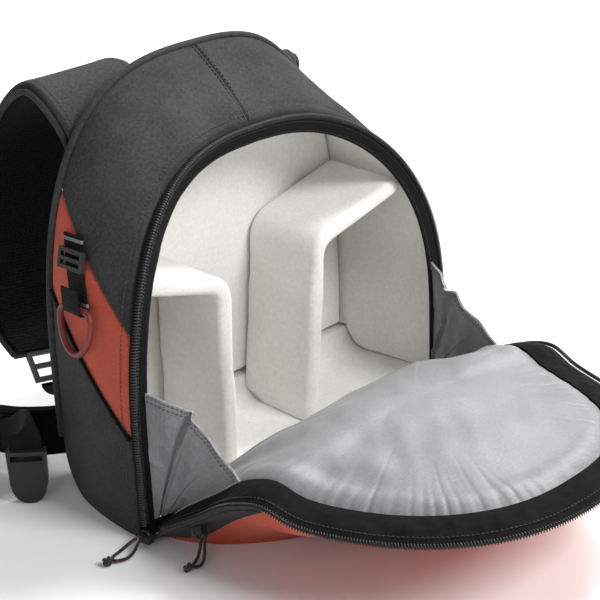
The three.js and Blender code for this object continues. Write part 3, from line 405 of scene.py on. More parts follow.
class Graph:
    """Short hand for one material's nodes."""

    def __init__(self, name: str) -> None:
        """Starts an empty material with one shader."""
        self.material = bpy.data.materials.new(name)
        self.material.use_nodes = True
        self.nodes = self.material.node_tree.nodes
        self.links = self.material.node_tree.links
        self.nodes.clear()
        self.out = self.nodes.new("ShaderNodeOutputMaterial")
        self.shader = self.nodes.new("ShaderNodeBsdfPrincipled")
        self.links.new(self.shader.outputs[0], self.out.inputs[0])

    def node(self, kind: str, values: dict[str, object] | None = None, **settings: object) -> bpy.types.Node:
        """One node, with its settings and socket values."""
        node = self.nodes.new(kind)
        for key, value in settings.items():
            setattr(node, key, value)
        for key, value in (values or {}).items():
            node.inputs[key].default_value = value
        return node

    def place(self, by_cloth: bool, scale: Sequence[float]) -> bpy.types.NodeSocket:
        """Texture places: along the cloth or in space, scaled."""
        source = self.node("ShaderNodeTexCoord")
        mapping = self.node("ShaderNodeMapping", {"Scale": tuple(scale)})
        self.links.new(source.outputs["UV" if by_cloth else "Object"], mapping.inputs["Vector"])
        return mapping.outputs["Vector"]

    def noise(self, size_mm: float, detail: float = 3.0, rough: float = 0.5) -> bpy.types.NodeSocket:
        """Cloudy values in space, with clouds of one size."""
        node = self.node(
            "ShaderNodeTexNoise", {"Scale": 1000.0 / size_mm, "Detail": detail, "Roughness": rough}
        )
        self.links.new(self.place(False, (1, 1, 1)), node.inputs["Vector"])
        return node.outputs["Fac"]

    def waves(self, pitch_mm: float, across: bool, wobble: float = 0.0) -> bpy.types.NodeSocket:
        """Ribs along or across the cloth."""
        node = self.node(
            "ShaderNodeTexWave",
            {"Scale": 1000.0 / pitch_mm / 20.0 * 2 * math.pi, "Distortion": wobble, "Detail": 0.0},
            wave_type="BANDS",
            bands_direction="Y" if across else "X",
            wave_profile="SIN",
        )
        self.links.new(self.place(True, (1, 1, 1)), node.inputs["Vector"])
        return node.outputs["Fac"]

    def math(
        self, what: str, a: bpy.types.NodeSocket, b: bpy.types.NodeSocket | float
    ) -> bpy.types.NodeSocket:
        """One sum."""
        node = self.node("ShaderNodeMath", operation=what)
        self.links.new(a, node.inputs[0])
        if isinstance(b, (int, float)):
            node.inputs[1].default_value = b
        else:
            self.links.new(b, node.inputs[1])
        return node.outputs[0]

    def spread(self, a: bpy.types.NodeSocket, low: float, high: float) -> bpy.types.NodeSocket:
        """Values from 0 to 1 spread between two limits."""
        node = self.node("ShaderNodeMapRange", {"To Min": low, "To Max": high})
        self.links.new(a, node.inputs["Value"])
        return node.outputs["Result"]

    def tint(
        self, fac: bpy.types.NodeSocket, low: Sequence[float], high: Sequence[float], start: float = 0.3,
        end: float = 0.7
    ) -> bpy.types.NodeSocket:
        """Colours between two, by a value."""
        ramp = self.node("ShaderNodeValToRGB")
        ramp.color_ramp.elements[0].position = start
        ramp.color_ramp.elements[1].position = end
        ramp.color_ramp.elements[0].color = (*low, 1)
        ramp.color_ramp.elements[1].color = (*high, 1)
        self.links.new(fac, ramp.inputs["Fac"])
        return ramp.outputs["Color"]

    def blend(
        self, fac: bpy.types.NodeSocket, a: bpy.types.NodeSocket, b: Sequence[float]
    ) -> bpy.types.NodeSocket:
        """A colour that turns into a second one where fac is high."""
        node = self.node("ShaderNodeMix", data_type="RGBA")
        self.links.new(fac, node.inputs[0])
        self.links.new(a, node.inputs[6])
        node.inputs[7].default_value = (*b, 1)
        return node.outputs[2]

    def bump(self, height: bpy.types.NodeSocket, depth_mm: float, strength: float = 1.0) -> None:
        """Adds relief of one depth to the shader, over what it has."""
        node = self.node("ShaderNodeBump", {"Strength": strength, "Distance": depth_mm * MM})
        self.links.new(height, node.inputs["Height"])
        normal = self.shader.inputs["Normal"]
        if normal.links:
            self.links.new(normal.links[0].from_socket, node.inputs["Normal"])
        self.links.new(node.outputs["Normal"], normal)

    def set(self, **values: object) -> None:
        """Values of the shader's own sockets, by name with spaces as underscores."""
        for key, value in values.items():
            self.shader.inputs[key.replace("_", " ")].default_value = value

    def feed(self, name: str, source: bpy.types.NodeSocket) -> None:
        """Links one of the shader's sockets."""
        self.links.new(source, self.shader.inputs[name])


@dataclass(frozen=True)
class Finish:
    """One finish. Its material is made once and shared."""

    name: str

    def material(self) -> bpy.types.Material:
        """The material of this finish."""
        found = bpy.data.materials.get(self.name)
        if found is None:
            graph = Graph(self.name)
            self.fill(graph)
            found = graph.material
        return found

    def fill(self, graph: Graph) -> None:
        """Sets up the nodes."""
        raise NotImplementedError


@dataclass(frozen=True)
class WovenCloth(Finish):
    """Woven cloth with a plain weave, cloudy wear, raised threads painted lighter as a painted highlight, and
    a soft sheen.
    """

    dark: tuple[float, float, float]
    light: tuple[float, float, float]
    thread: float = 0.9
    depth: float = 0.16
    rough: float = 0.82
    sheen: float = 0.12
    crumple: float = 0.5
    shine: float = 0.2
    grain: float = 1.8
    water: float = 0.0

    def fill(self, graph: Graph) -> None:
        """Warp, weft and slubs, the raised threads painted lighter as a painted highlight, and for a lining
        the watered lines of two thin layers.
        """
        warp = graph.waves(self.thread, False, 0.4)
        weft = graph.waves(self.thread, True, 0.4)
        weave = graph.math("MAXIMUM", graph.math("MULTIPLY", warp, 0.9), weft)
        grain = graph.noise(self.grain, 2.0)
        cloud = graph.noise(55, 4.0)
        mottle = graph.math("ADD", graph.math("MULTIPLY", grain, 0.45), graph.math("MULTIPLY", cloud, 0.55))
        colour = graph.tint(mottle, self.dark, self.light, 0.34, 0.66)
        if self.water:
            lines = graph.math(
                "MULTIPLY", graph.waves(2.6, True, 3.0), graph.spread(graph.noise(45), 0.0, 1.0)
            )
            colour = graph.blend(
                graph.math("MULTIPLY", lines, self.water), colour, [c * 1.7 for c in self.light]
            )
        # The raised threads of the weave are painted lighter: painted highlight on the thread crowns.
        shade = graph.spread(weave, 0.0, 0.35)
        highlighted_weave = graph.blend(graph.math("MULTIPLY", shade, 0.6), colour, [c * 1.5 for c in self.light])
        graph.feed("Base Color", highlighted_weave)
        graph.feed("Roughness", graph.spread(cloud, self.rough - 0.08, min(1.0, self.rough + 0.08)))
        graph.bump(graph.noise(14, 3.0), self.crumple, 0.35)
        graph.bump(grain, 0.12, 0.5)
        graph.bump(weave, self.depth, 0.8)
        graph.set(Sheen_Weight=self.sheen, Sheen_Roughness=0.5, Specular_IOR_Level=self.shine)


@dataclass(frozen=True)
class Plush(Finish):
    """Brushed pile over foam."""

    dark: tuple[float, float, float]
    light: tuple[float, float, float]

    def fill(self, graph: Graph) -> None:
        """Pile, tufts and painted shade in the hollows."""
        pile = graph.noise(0.9, 4.0, 0.7)
        tuft = graph.noise(3, 3.0)
        cloud = graph.noise(60, 3.0)
        # The tuft noise that raises the pile also darkens its low places: painted shade in the hollows
        # between tufts. The large clouds are uneven tone.
        mottle = graph.math("ADD", graph.math("MULTIPLY", tuft, 0.5), graph.math("MULTIPLY", cloud, 0.5))
        graph.feed("Base Color", graph.tint(mottle, self.dark, self.light, 0.35, 0.65))
        graph.bump(tuft, 0.5, 0.4)
        graph.bump(pile, 0.5, 0.7)
        graph.set(Roughness=0.95, Sheen_Weight=0.6, Sheen_Roughness=0.6, Specular_IOR_Level=0.12)


@dataclass(frozen=True)
class AirMesh(Finish):
    """Knitted mesh with small holes over dark foam."""

    colour: tuple[float, float, float]
    cell: float = 2.6

    def fill(self, graph: Graph) -> None:
        """Holes in rows, with threads between them."""
        cells = graph.node("ShaderNodeTexVoronoi", {"Scale": 1000.0 / self.cell, "Randomness": 0.35})
        graph.links.new(graph.place(True, (1, 1, 1)), cells.inputs["Vector"])
        near = cells.outputs["Distance"]
        thread = graph.spread(near, 0.0, 1.0)
        light = [c * 2.6 for c in self.colour]
        graph.feed("Base Color", graph.tint(thread, [c * 0.25 for c in self.colour], light, 0.18, 0.5))
        graph.bump(graph.noise(30, 3.0), 0.8, 0.3)
        graph.bump(thread, 0.9, 0.8)
        graph.set(Roughness=0.85, Sheen_Weight=0.02, Sheen_Roughness=0.45, Specular_IOR_Level=0.06)


@dataclass(frozen=True)
class RibbedTape(Finish):
    """Woven tape or webbing with ribs across it."""

    colour: tuple[float, float, float]
    rib: float = 1.3
    depth: float = 0.3

    def fill(self, graph: Graph) -> None:
        """Ribs and fine threads, with the raised ribs painted lighter as a painted highlight."""
        rib = graph.waves(self.rib, False, 0.2)
        fine = graph.waves(self.rib * 0.45, True, 0.3)
        weave = graph.math("ADD", graph.math("MULTIPLY", rib, 0.7), graph.math("MULTIPLY", fine, 0.3))
        cloud = graph.noise(18, 3.0)
        colour = graph.tint(cloud, [c * 0.75 for c in self.colour], [c * 1.35 for c in self.colour])
        # The raised ribs are painted lighter: painted highlight on the rib crowns.
        graph.feed(
            "Base Color",
            graph.blend(graph.spread(weave, 0.0, 0.45), colour, [c * 2.4 for c in self.colour])
        )
        graph.feed("Roughness", graph.spread(cloud, 0.6, 0.8))
        graph.bump(weave, self.depth, 0.8)
        graph.set(Sheen_Weight=0.02, Sheen_Roughness=0.4, Specular_IOR_Level=0.12)


@dataclass(frozen=True)
class Moulded(Finish):
    """Moulded plastic or painted metal with a fine grain and a painted highlight on its sharp edges."""

    colour: tuple[float, float, float]
    rough: float = 0.42
    grain: float = 0.08
    metal: float = 0.0

    def fill(self, graph: Graph) -> None:
        """Grain, scuffs and a painted highlight on sharp edges."""
        cloud = graph.noise(12, 4.0)
        # Sharp edges, found by pointiness, are painted lighter: painted highlight where edges catch the
        # light.
        edge_sharpness = graph.node("ShaderNodeNewGeometry").outputs["Pointiness"]
        colour = graph.tint(cloud, [c * 0.8 for c in self.colour], [c * 1.2 for c in self.colour])
        edge_highlight = graph.tint(edge_sharpness, (0, 0, 0), (1, 1, 1), 0.5, 0.6)
        graph.feed("Base Color", graph.blend(edge_highlight, colour, [min(1.0, c * 1.9 + 0.01) for c in self.colour]))
        graph.feed("Roughness", graph.spread(graph.noise(3, 4.0), self.rough - 0.1, self.rough + 0.12))
        graph.bump(graph.noise(0.7, 2.0), self.grain, 0.6)
        graph.set(Metallic=self.metal, Coat_Weight=0.04, Coat_Roughness=0.3, Specular_IOR_Level=0.32)


@dataclass(frozen=True)
class Thread(Finish):
    """Sewing thread or braided cord, with flecks of a second colour."""

    colour: tuple[float, float, float]
    fleck: tuple[float, float, float] | None = None
    braid: float = 1.6

    def fill(self, graph: Graph) -> None:
        """Twist and flecks."""
        twist = graph.waves(self.braid, False, 1.2)
        grain = graph.noise(1.2, 2.0)
        colour = graph.tint(grain, [c * 0.8 for c in self.colour], [c * 1.3 for c in self.colour])
        if self.fleck:
            spots = graph.tint(graph.noise(2.6, 0.0), (0, 0, 0), (1, 1, 1), 0.66, 0.70)
            colour = graph.blend(spots, colour, self.fleck)
        graph.feed("Base Color", colour)
        graph.bump(twist, 0.25, 0.8)
        graph.set(Roughness=0.75, Sheen_Weight=0.3, Specular_IOR_Level=0.3)


@dataclass(frozen=True)
class Floor(Finish):
    """Plain pale paper."""

    def fill(self, graph: Graph) -> None:
        """Almost even white."""
        graph.feed("Base Color", graph.tint(graph.noise(300, 2.0), (0.90, 0.90, 0.90), (0.93, 0.93, 0.93)))
        graph.set(Roughness=0.9, Specular_IOR_Level=0.1)


GREY_CLOTH = WovenCloth(
    "grey_nylon", (0.0135, 0.0135, 0.0138), (0.054, 0.054, 0.0558), depth=0.22, sheen=0.03, shine=0.1,
    grain=2.0,
)
RED_CLOTH = WovenCloth("rust_nylon", (0.32, 0.050, 0.029), (0.50, 0.092, 0.053), sheen=0.06)
SILVER_CLOTH = WovenCloth(
    "silver_lining", (0.138, 0.1395, 0.143), (0.215, 0.2175, 0.223),
    thread=0.7, depth=0.08, rough=0.45, sheen=0.04, crumple=0.9, shine=0.35, water=0.16,
)
BLACK_CLOTH = WovenCloth(
    "black_nylon", (0.0028, 0.0028, 0.003), (0.0075, 0.0075, 0.008), sheen=0.01, shine=0.06
)
WHITE_PLUSH = Plush("white_plush", (0.76, 0.745, 0.705), (0.88, 0.87, 0.84))
BLACK_TAPE = RibbedTape("black_tape", (0.0035, 0.0035, 0.004))
BLACK_WEB = RibbedTape("black_webbing", (0.004, 0.004, 0.0045), rib=1.9, depth=0.5)
# Light grey strips that stand in for edges catching the light: painted highlight.
HIGHLIGHT_STRIP = RibbedTape("reflective_tape", (0.12, 0.125, 0.13), rib=1.0, depth=0.1)
BLACK_MESH = AirMesh("black_mesh", (0.0035, 0.0035, 0.004))
BLACK_PLASTIC = Moulded("black_plastic", (0.006, 0.006, 0.0065), rough=0.5)
RED_PLASTIC = Moulded("rust_plastic", (0.12, 0.017, 0.012), rough=0.42)
BLACK_METAL = Moulded("black_metal", (0.018, 0.018, 0.020), rough=0.3, grain=0.02, metal=0.6)
COIL = Moulded("coil_nylon", (0.008, 0.008, 0.009), rough=0.36, grain=0.02)
GREY_THREAD = Thread("grey_thread", (0.032, 0.032, 0.034))
BLACK_THREAD = Thread("black_thread", (0.009, 0.009, 0.010))
PULL_CORD = Thread("pull_cord", (0.010, 0.009, 0.009), fleck=(0.16, 0.012, 0.012), braid=2.2)
FLOOR = Floor("pale_floor")


# Shapes that several pieces share.


@dataclass(frozen=True)
class BodyForm:
    """Outside of the bag's body: an arch at the back, a smaller one at the opening."""

    back_half: float = 154.0
    back_top: float = 316.0
    back_shoulder: float = 74.0
    back_power: float = 2.87
    rim_half: float = 168.0
    rim_top: float = 265.5
    rim_shoulder: float = 68.5
    rim_power: float = 2.49
    depth: float = 103.0
    setback: float = 43.0
    setback_power: float = 4.1
    base_radius: float = 32.0
    crown: float = 4.5
    cloth: float = 3.0
    gap: float = 0.4
    plush: float = 7.0
    floor_plush: float = 8.0
    tape_width: float = 15.0
    tape_thick: float = 2.0
    straight: float = 0.72
    slump: float = 6.5
    slump_along: float = 0.25
    slump_wide: float = 0.13
    slump_swell: float = 2.8

    def arch(
        self, along: np.ndarray, half: float, shoulder: float, top: float, power: float
    ) -> tuple[np.ndarray, np.ndarray]:
        """Places x and z on one arch."""
        a = np.abs(along)
        t = np.sin((1 - np.minimum(a / self.straight, 1)) * math.pi / 2)
        foot = a >= self.straight
        x = np.sign(along) * half * np.where(foot, 1, (1 - t**power) ** (1 / power))
        z = np.where(foot, shoulder * (1 - a) / (1 - self.straight), mix(shoulder, top, t))
        return x, z

    def rim_y(self, z: np.ndarray | float) -> np.ndarray | float:
        """How far forward the opening stands at a height."""
        return -self.depth + self.setback * np.clip(np.asarray(z) / self.rim_top, 0, 1) ** self.setback_power

    def base_z(self, y: np.ndarray | float) -> np.ndarray | float:
        """Height of the base's underside at a depth."""
        inside = np.clip(self.base_radius + np.asarray(y), 0, self.base_radius)
        return self.base_radius - np.sqrt(self.base_radius**2 - inside**2)

    def skin(self, along: np.ndarray, deep: np.ndarray) -> np.ndarray:
        """Points of the outside, from the left foot over the top, and from the back to the opening."""
        along, deep = np.broadcast_arrays(np.asarray(along, float), np.asarray(deep, float))
        bx, bz = self.arch(along, self.back_half, self.back_shoulder, self.back_top, self.back_power)
        rx, rz = self.arch(along, self.rim_half, self.rim_shoulder, self.rim_top, self.rim_power)
        y = self.rim_y(rz) * deep
        foot = (np.abs(along) - self.straight) / (1 - self.straight)
        side = mix(mix(self.back_shoulder, self.rim_shoulder, deep), self.base_z(y), foot)
        z = np.where(np.abs(along) > self.straight, side, mix(bz, rz, deep))
        slump = self.slump * np.exp(-(((along - self.slump_along) / self.slump_wide) ** 2))
        belly = self.crown * np.sin(math.pi * deep) - slump * (1 - deep) * (1 + self.slump_swell * deep)
        out = unit(
            np.stack([bx / self.back_half, np.maximum(0, (z - self.back_shoulder) / self.back_top)], -1)
        )
        return np.stack([mix(bx, rx, deep) + out[..., 0] * belly, y, z + out[..., 1] * belly], -1)

    def normal(self, along: np.ndarray, deep: np.ndarray) -> np.ndarray:
        """Directions into the bag, square to its outside."""
        step = 0.004
        du = self.skin(np.asarray(along) + step, deep) - self.skin(np.asarray(along) - step, deep)
        deep = np.asarray(deep, float)
        dv = self.skin(along, np.minimum(1, deep + step)) - self.skin(along, np.maximum(0, deep - step))
        return unit(np.cross(du, dv))

    def point(self, along: np.ndarray, deep: np.ndarray, inward: np.ndarray | float = 0.0) -> np.ndarray:
        """Points of the outside, moved into the bag."""
        return self.skin(along, deep) + self.normal(along, deep) * np.asarray(inward, float)[..., None]

    def along_at(self, z: np.ndarray | float, deep: np.ndarray | float) -> np.ndarray:
        """Where the left half of the outside has a height."""
        z, deep = np.broadcast_arrays(np.asarray(z, float), np.asarray(deep, float))
        low, high = np.full(z.shape, -1.0), np.zeros(z.shape)
        for _ in range(30):
            mid = (low + high) / 2
            under = self.skin(mid, deep)[..., 2] < z
            low, high = np.where(under, mid, low), np.where(under, high, mid)
        return (low + high) / 2

    def along_across(self, x: np.ndarray | float, deep: np.ndarray | float) -> np.ndarray:
        """Where the outside, near its top, lies at a distance from the middle."""
        x, deep = np.broadcast_arrays(np.asarray(x, float), np.asarray(deep, float))
        low, high = np.zeros(x.shape), np.full(x.shape, 0.2)
        for _ in range(30):
            mid = (low + high) / 2
            short = self.skin(mid, deep)[..., 0] < np.abs(x)
            low, high = np.where(short, mid, low), np.where(short, high, mid)
        return (low + high) / 2 * np.sign(x)

    def deep_at(self, along: np.ndarray, inward: float, y: np.ndarray | float) -> np.ndarray:
        """How deep the outside, moved inward, crosses a plane of constant y."""
        along = np.asarray(along, float)
        low, high = np.zeros(along.shape), np.ones(along.shape)
        for _ in range(24):
            mid = (low + high) / 2
            behind = self.point(along, mid, inward)[..., 1] > y
            low, high = np.where(behind, mid, low), np.where(behind, high, mid)
        return (low + high) / 2

    def floor_top(self, y: np.ndarray | float) -> np.ndarray | float:
        """Height of the plush floor at a depth."""
        radius = self.base_radius - self.cloth - self.gap - self.floor_plush
        inside = np.maximum(0, self.base_radius + np.asarray(y, float))
        return self.base_radius - np.sqrt(np.maximum(0, radius**2 - inside**2))

    def tape(self, along: np.ndarray, across: np.ndarray | float, forward: np.ndarray | float) -> np.ndarray:
        """Points on the tape round the opening: across is the distance in from its edge."""
        along = np.asarray(along, float)
        p = self.skin(along, 1.0)
        change = self.skin(along + 0.004, 1.0) - self.skin(along - 0.004, 1.0)
        square = unit(np.stack([change[..., 2], -change[..., 0]], -1))
        x, y, z = (
            p[..., 0] + square[..., 0] * across, p[..., 1] - forward, p[..., 2] + square[..., 1] * across
        )
        return np.stack(np.broadcast_arrays(x, y, z), -1)


@dataclass(frozen=True)
class LidForm:
    """The front lid, laid forward on the floor."""

    hinge: float = -107.8
    half: float = 166.0
    length: float = 278.0
    power: float = 2.5
    height: float = 75.0
    band: float = 25.0
    band_rise: float = 5.0
    lining_crown: float = 12.0
    contact_half: float = 152.0
    contact_length: float = 105.0
    contact_power: float = 1.7
    under_power: float = 0.75
    tuck: float = 0.7
    hinge_lining: float = 14.0
    roll: float = 2.4
    cloth: float = 3.0
    rises: tuple[tuple[float, float], ...] = (
        (0.0, 0.05), (0.06, 0.24), (0.21, 0.62), (0.33, 0.91), (0.42, 1.0), (0.52, 0.92), (0.7, 0.935),
        (1.0, 1.03),
    )

    def rise(self, reach: np.ndarray) -> np.ndarray:
        """Height of the zip at a share of the lid's length."""
        line = catmull([(a, b, 0) for a, b in self.rises], np.linspace(0, 1, 161))
        return self.height * np.interp(reach, line[:, 0], line[:, 1])

    def oval(
        self, around: np.ndarray, half: np.ndarray | float, length: np.ndarray | float, power: float
    ) -> np.ndarray:
        """Points of a half oval from the left hinge corner, round the tip, to the right one."""
        around = np.asarray(around, float)
        t = np.sin((1 - np.abs(around)) * math.pi / 2)
        x = np.sign(around) * half * (1 - t**power) ** (1 / power)
        return np.stack(np.broadcast_arrays(x, self.hinge - length * t, self.rise(t)), -1)

    def loop(self, around: np.ndarray, inset: np.ndarray | float) -> np.ndarray:
        """Points of the lid's edge, moved in from it."""
        return self.oval(around, self.half - inset, self.length - inset, self.power)

    def top(self, around: np.ndarray, inset: np.ndarray | float) -> np.ndarray:
        """Points on the band inside the zip."""
        p = self.loop(around, inset)
        p[..., 2] += self.band_rise * np.clip(np.asarray(inset) / self.band, 0, 1)
        return p

    def under(self, around: np.ndarray, share: np.ndarray | float, lift: float = 0.0) -> np.ndarray:
        """Points of the underside, from the zip at share 0 to the floor at 1."""
        share, inset = np.asarray(share, float), lift * self.tuck
        rim = self.loop(around, self.cloth + inset)
        contact = self.oval(
            around, self.contact_half - inset, self.contact_length - inset, self.contact_power
        )
        p = mix(rim, contact, share[..., None])
        p[..., 2] = (
            np.maximum(0, rim[..., 2] - self.cloth - self.roll) * (1 - share) ** self.under_power + lift
        )
        return p


def edge_distances(grid: np.ndarray) -> tuple[np.ndarray, np.ndarray, np.ndarray, np.ndarray]:
    """Distances over a grid from its first and last row and its first and last column."""
    rows = np.concatenate(
        [np.zeros((1, grid.shape[1])), np.cumsum(np.linalg.norm(np.diff(grid, axis=0), axis=-1), 0)]
    )
    cols = np.concatenate(
        [np.zeros((grid.shape[0], 1)), np.cumsum(np.linalg.norm(np.diff(grid, axis=1), axis=-1), 1)], 1
    )
    return rows, rows[-1:] - rows, cols, cols[:, -1:] - cols


def eased(count: int) -> np.ndarray:
    """Shares from 0 to 1 that lie closer together at both ends."""
    t = np.linspace(0, 1, count)
    return mix(t, (1 - np.cos(math.pi * t)) / 2, 0.7)


# Small repeated things.


def stitches(
    bench: Bench, name: str, path: np.ndarray, out: np.ndarray, finish: Finish, slot: Slot,
    pitch: float = 3.6,
    wide: float = 0.4,
) -> None:
    """A row of stitches along a seam.

    Args:
        bench: Makes the object.
        name: Name of the object.
        path: Points of the seam.
        out: Directions away from the cloth, one for each point.
        finish: What the thread is made of.
        slot: The record's slot.
        pitch: Distance from one stitch to the next.
        wide: Half of a stitch's width.
    """
    places, index = along_path(path, pitch, pitch / 2)
    if len(places) < 2:
        return
    up = unit(np.stack([np.interp(index, np.arange(len(out)), out[:, i]) for i in range(3)], 1))
    run = tangents(places)
    side = unit(np.cross(up, run))
    frames = np.stack([run, side, np.cross(run, side), places], 1)
    half, tall = pitch * 0.36, wide * 1.1
    ring = [
        (x * half, y * wide * w, z)
        for x, w, z in ((-1, 0.7, -0.25), (-0.6, 1, tall * 0.8), (0.6, 1, tall * 0.8), (1, 0.7, -0.25))
        for y in (-1, 0, 1)
    ]
    shape = np.array(ring)
    shape[[1, 4, 7, 10], 2] += tall * 0.45
    faces = [[r * 3 + c, r * 3 + c + 1, r * 3 + c + 4, r * 3 + c + 3] for r in range(3) for c in range(2)]
    bench.settle(bench.many(name, shape, faces, frames), finish, slot)


def coil(bench: Bench, name: str, path: np.ndarray, across: np.ndarray, out: np.ndarray, node: str) -> None:
    """A nylon zip: a row of small rounded teeth over a cord.

    Args:
        bench: Makes the objects.
        name: Name of the row of teeth.
        path: Middle line of the zip.
        across: Directions across it, one for each point.
        out: Directions away from its tape.
        node: The solid that it stands for.
    """
    places, index = along_path(path, 2.1, 1.0)
    pick = np.arange(len(path))
    side = unit(np.stack([np.interp(index, pick, across[:, i]) for i in range(3)], 1))
    run = tangents(places)
    up = unit(np.cross(run, side))
    up *= np.sign(
        np.sum(up * np.stack([np.interp(index, pick, out[:, i]) for i in range(3)], 1), 1, keepdims=True)
    )
    frames = np.stack([run, side, up, places], 1)
    ring = [(math.cos(a), math.sin(a)) for a in np.linspace(0, 2 * math.pi, 6, endpoint=False)]
    rows = [
        (-2.3, 0.35, -0.9), (-2.1, 0.6, 0.1), (-0.9, 0.68, 1.4), (0.9, 0.68, 1.4), (2.1, 0.6, 0.1),
        (2.3, 0.35, -0.9),
    ]
    shape = np.array([(c * w, y, z + s * w) for y, w, z in rows for c, s in ring])
    faces = [
        [r * 6 + c, r * 6 + (c + 1) % 6, (r + 1) * 6 + (c + 1) % 6, (r + 1) * 6 + c] for r in range(5)
        for c in range(6)
    ]
    faces += [list(range(6))[::-1], list(range(30, 36))]
    bench.settle(bench.many(name, shape, faces, frames, 60), COIL, Slot.ZIP, node)
    core = bench.tube(f"{name}_core", path, 1.0, 8)
    bench.settle(core, COIL, Slot.ZIP)


# Body.


@dataclass
class Shell:
    """Padded outer cloth: grey panels, red side panels, base and back, with piping and stitched seams."""

    form: BodyForm = field(default_factory=BodyForm)
    red_top: tuple[float, float] = (237.0, 157.0)
    red_low: tuple[float, float] = (165.0, 81.0)
    seam: float = 0.4 / 484.0
    roll: float = 1.5
    soft: float = 2.6
    piping: float = 1.5
    seam_track: float = 2.3
    seam_wide: float = 6.0
    seam_clear: float = 0.009

    def line(self, heights: tuple[float, float], deep: np.ndarray) -> np.ndarray:
        """A seam of the left side that crosses the depth between two heights."""
        return self.form.along_at(mix(heights[0], heights[1], deep), deep)

    def panel(
        self, bench: Bench, name: str, low: Callable, high: Callable, cols: int, finish: Finish, slot: Slot,
        seed: int
    ) -> None:
        """One sewn panel, rounded down at its seams.

        Args:
            bench: Makes the object.
            name: The panel's solid and object.
            low: Gives the seam where it starts, by depth.
            high: Gives the seam where it ends.
            cols: Number of points from seam to seam.
            finish: Its cloth.
            slot: The record's slot.
            seed: Picks its creases.
        """
        deep = eased(46)[:, None]
        start, end = low(deep), high(deep)
        along = mix(start, end, eased(cols)[None, :])
        if name == "shell_upper":
            middle = self.form.along_across(np.linspace(-self.seam_wide, self.seam_wide, 21)[None], deep)
            left = along[:, along.max(0) < -self.seam_clear]
            right = along[:, along.min(0) > self.seam_clear]
            along = np.concatenate([left, middle, right], 1)
        flat = self.form.skin(along, deep)
        rear, front, left, right = edge_distances(flat)
        inset = self.roll * (
            np.exp(-rear / self.soft) + np.exp(-left / self.soft) + np.exp(-right / self.soft)
        )
        inset += 2.2 * self.roll * np.exp(-front / self.soft)
        inset += 0.55 * np.exp(-(((front - 9) / 1.5) ** 2))
        if name == "shell_upper":
            off = np.abs(flat[..., 0])
            track = np.exp(-(((off - self.seam_track) / 0.9) ** 2))
            inset += (
                0.9 * np.exp(-((off / 0.9) ** 2)) + 0.5 * track - 0.5 * np.exp(-(((off - 1.9) / 1.0) ** 2))
            )
        calm = np.minimum(1, np.minimum(np.minimum(rear, front), np.minimum(left, right)) / 14)
        inset = np.minimum(inset, 2.6) + 0.9 * calm * ripple(flat, 85, seed)
        obj = bench.wall(
            name, self.form.point(along, deep, inset), self.form.point(along, deep, self.form.cloth + 0.1)
        )
        bench.settle(obj, finish, slot, name, fill=0.4)

    def base_grid(
        self, lift: np.ndarray | float, inset: float, rows: int, cols: int, start: float = 0.0,
        front: float = -103.0
    ) -> np.ndarray:
        """Points of the base, from the back round to the opening."""
        f = self.form
        turn = np.linspace(start, math.pi / 2, rows)
        y = -f.base_radius + (f.base_radius - lift) * np.cos(turn)
        z = f.base_radius - (f.base_radius - lift) * np.sin(turn)
        flat = np.linspace(-f.base_radius, front, rows)[1:]
        y, z = np.concatenate([y, flat]), np.concatenate([z, np.full(rows - 1, lift)])
        reach = np.clip(-y / f.depth, 0, 1)
        half = mix(f.back_half, f.rim_half, reach) + f.crown * np.sin(math.pi * reach) - inset
        share = mix(np.linspace(-1, 1, cols), np.sin(np.linspace(-1, 1, cols) * math.pi / 2), 0.5)
        return np.stack(np.broadcast_arrays(half[:, None] * share, y[:, None], z[:, None]), -1)

    def plate(
        self, inset: float, low: float, thick: float, y: float, puff: float, rings: int = 26
    ) -> tuple[np.ndarray, np.ndarray]:
        """Front and rear points of an arched plate inside the body."""
        f = self.form
        left = float(f.along_at(low, 0.0))
        along = np.linspace(left, -left, 121)
        ends = [f.point(along, f.deep_at(along, inset, at), inset) for at in (y, y - thick)]
        x = np.sign(along) * np.minimum(np.abs(ends[0][:, 0]), np.abs(ends[1][:, 0]))
        z = np.maximum(low, np.minimum(ends[0][:, 2], ends[1][:, 2]))
        foot = np.stack([np.linspace(x[-1], x[0], 40)[1:-1], np.full(38, low)], -1)
        rim = np.concatenate([np.stack([x, z], -1), foot])
        middle = np.array([0.0, (low + z.max()) / 2])
        share = (1 - (1 - np.linspace(0, 1, rings)) ** 1.6)[:, None, None]
        flat = mix(middle, rim[None], share)
        from_edge = np.linalg.norm(rim[None] - flat, axis=-1)
        down = puff * np.exp(-from_edge / 3.0)
        front = np.stack([flat[..., 0], y - thick + down, flat[..., 1]], -1)
        back = np.stack([flat[..., 0], np.full(flat.shape[:2], y), flat[..., 1]], -1)
        return front, back

    def piping_line(
        self, bench: Bench, name: str, along: np.ndarray, deep: np.ndarray, finish: Finish, slot: Slot
    ) -> None:
        """Piping in a seam of the outside."""
        path = self.form.point(along, deep, -0.2)
        bench.settle(bench.tube(name, path, self.piping, 8), finish, slot)

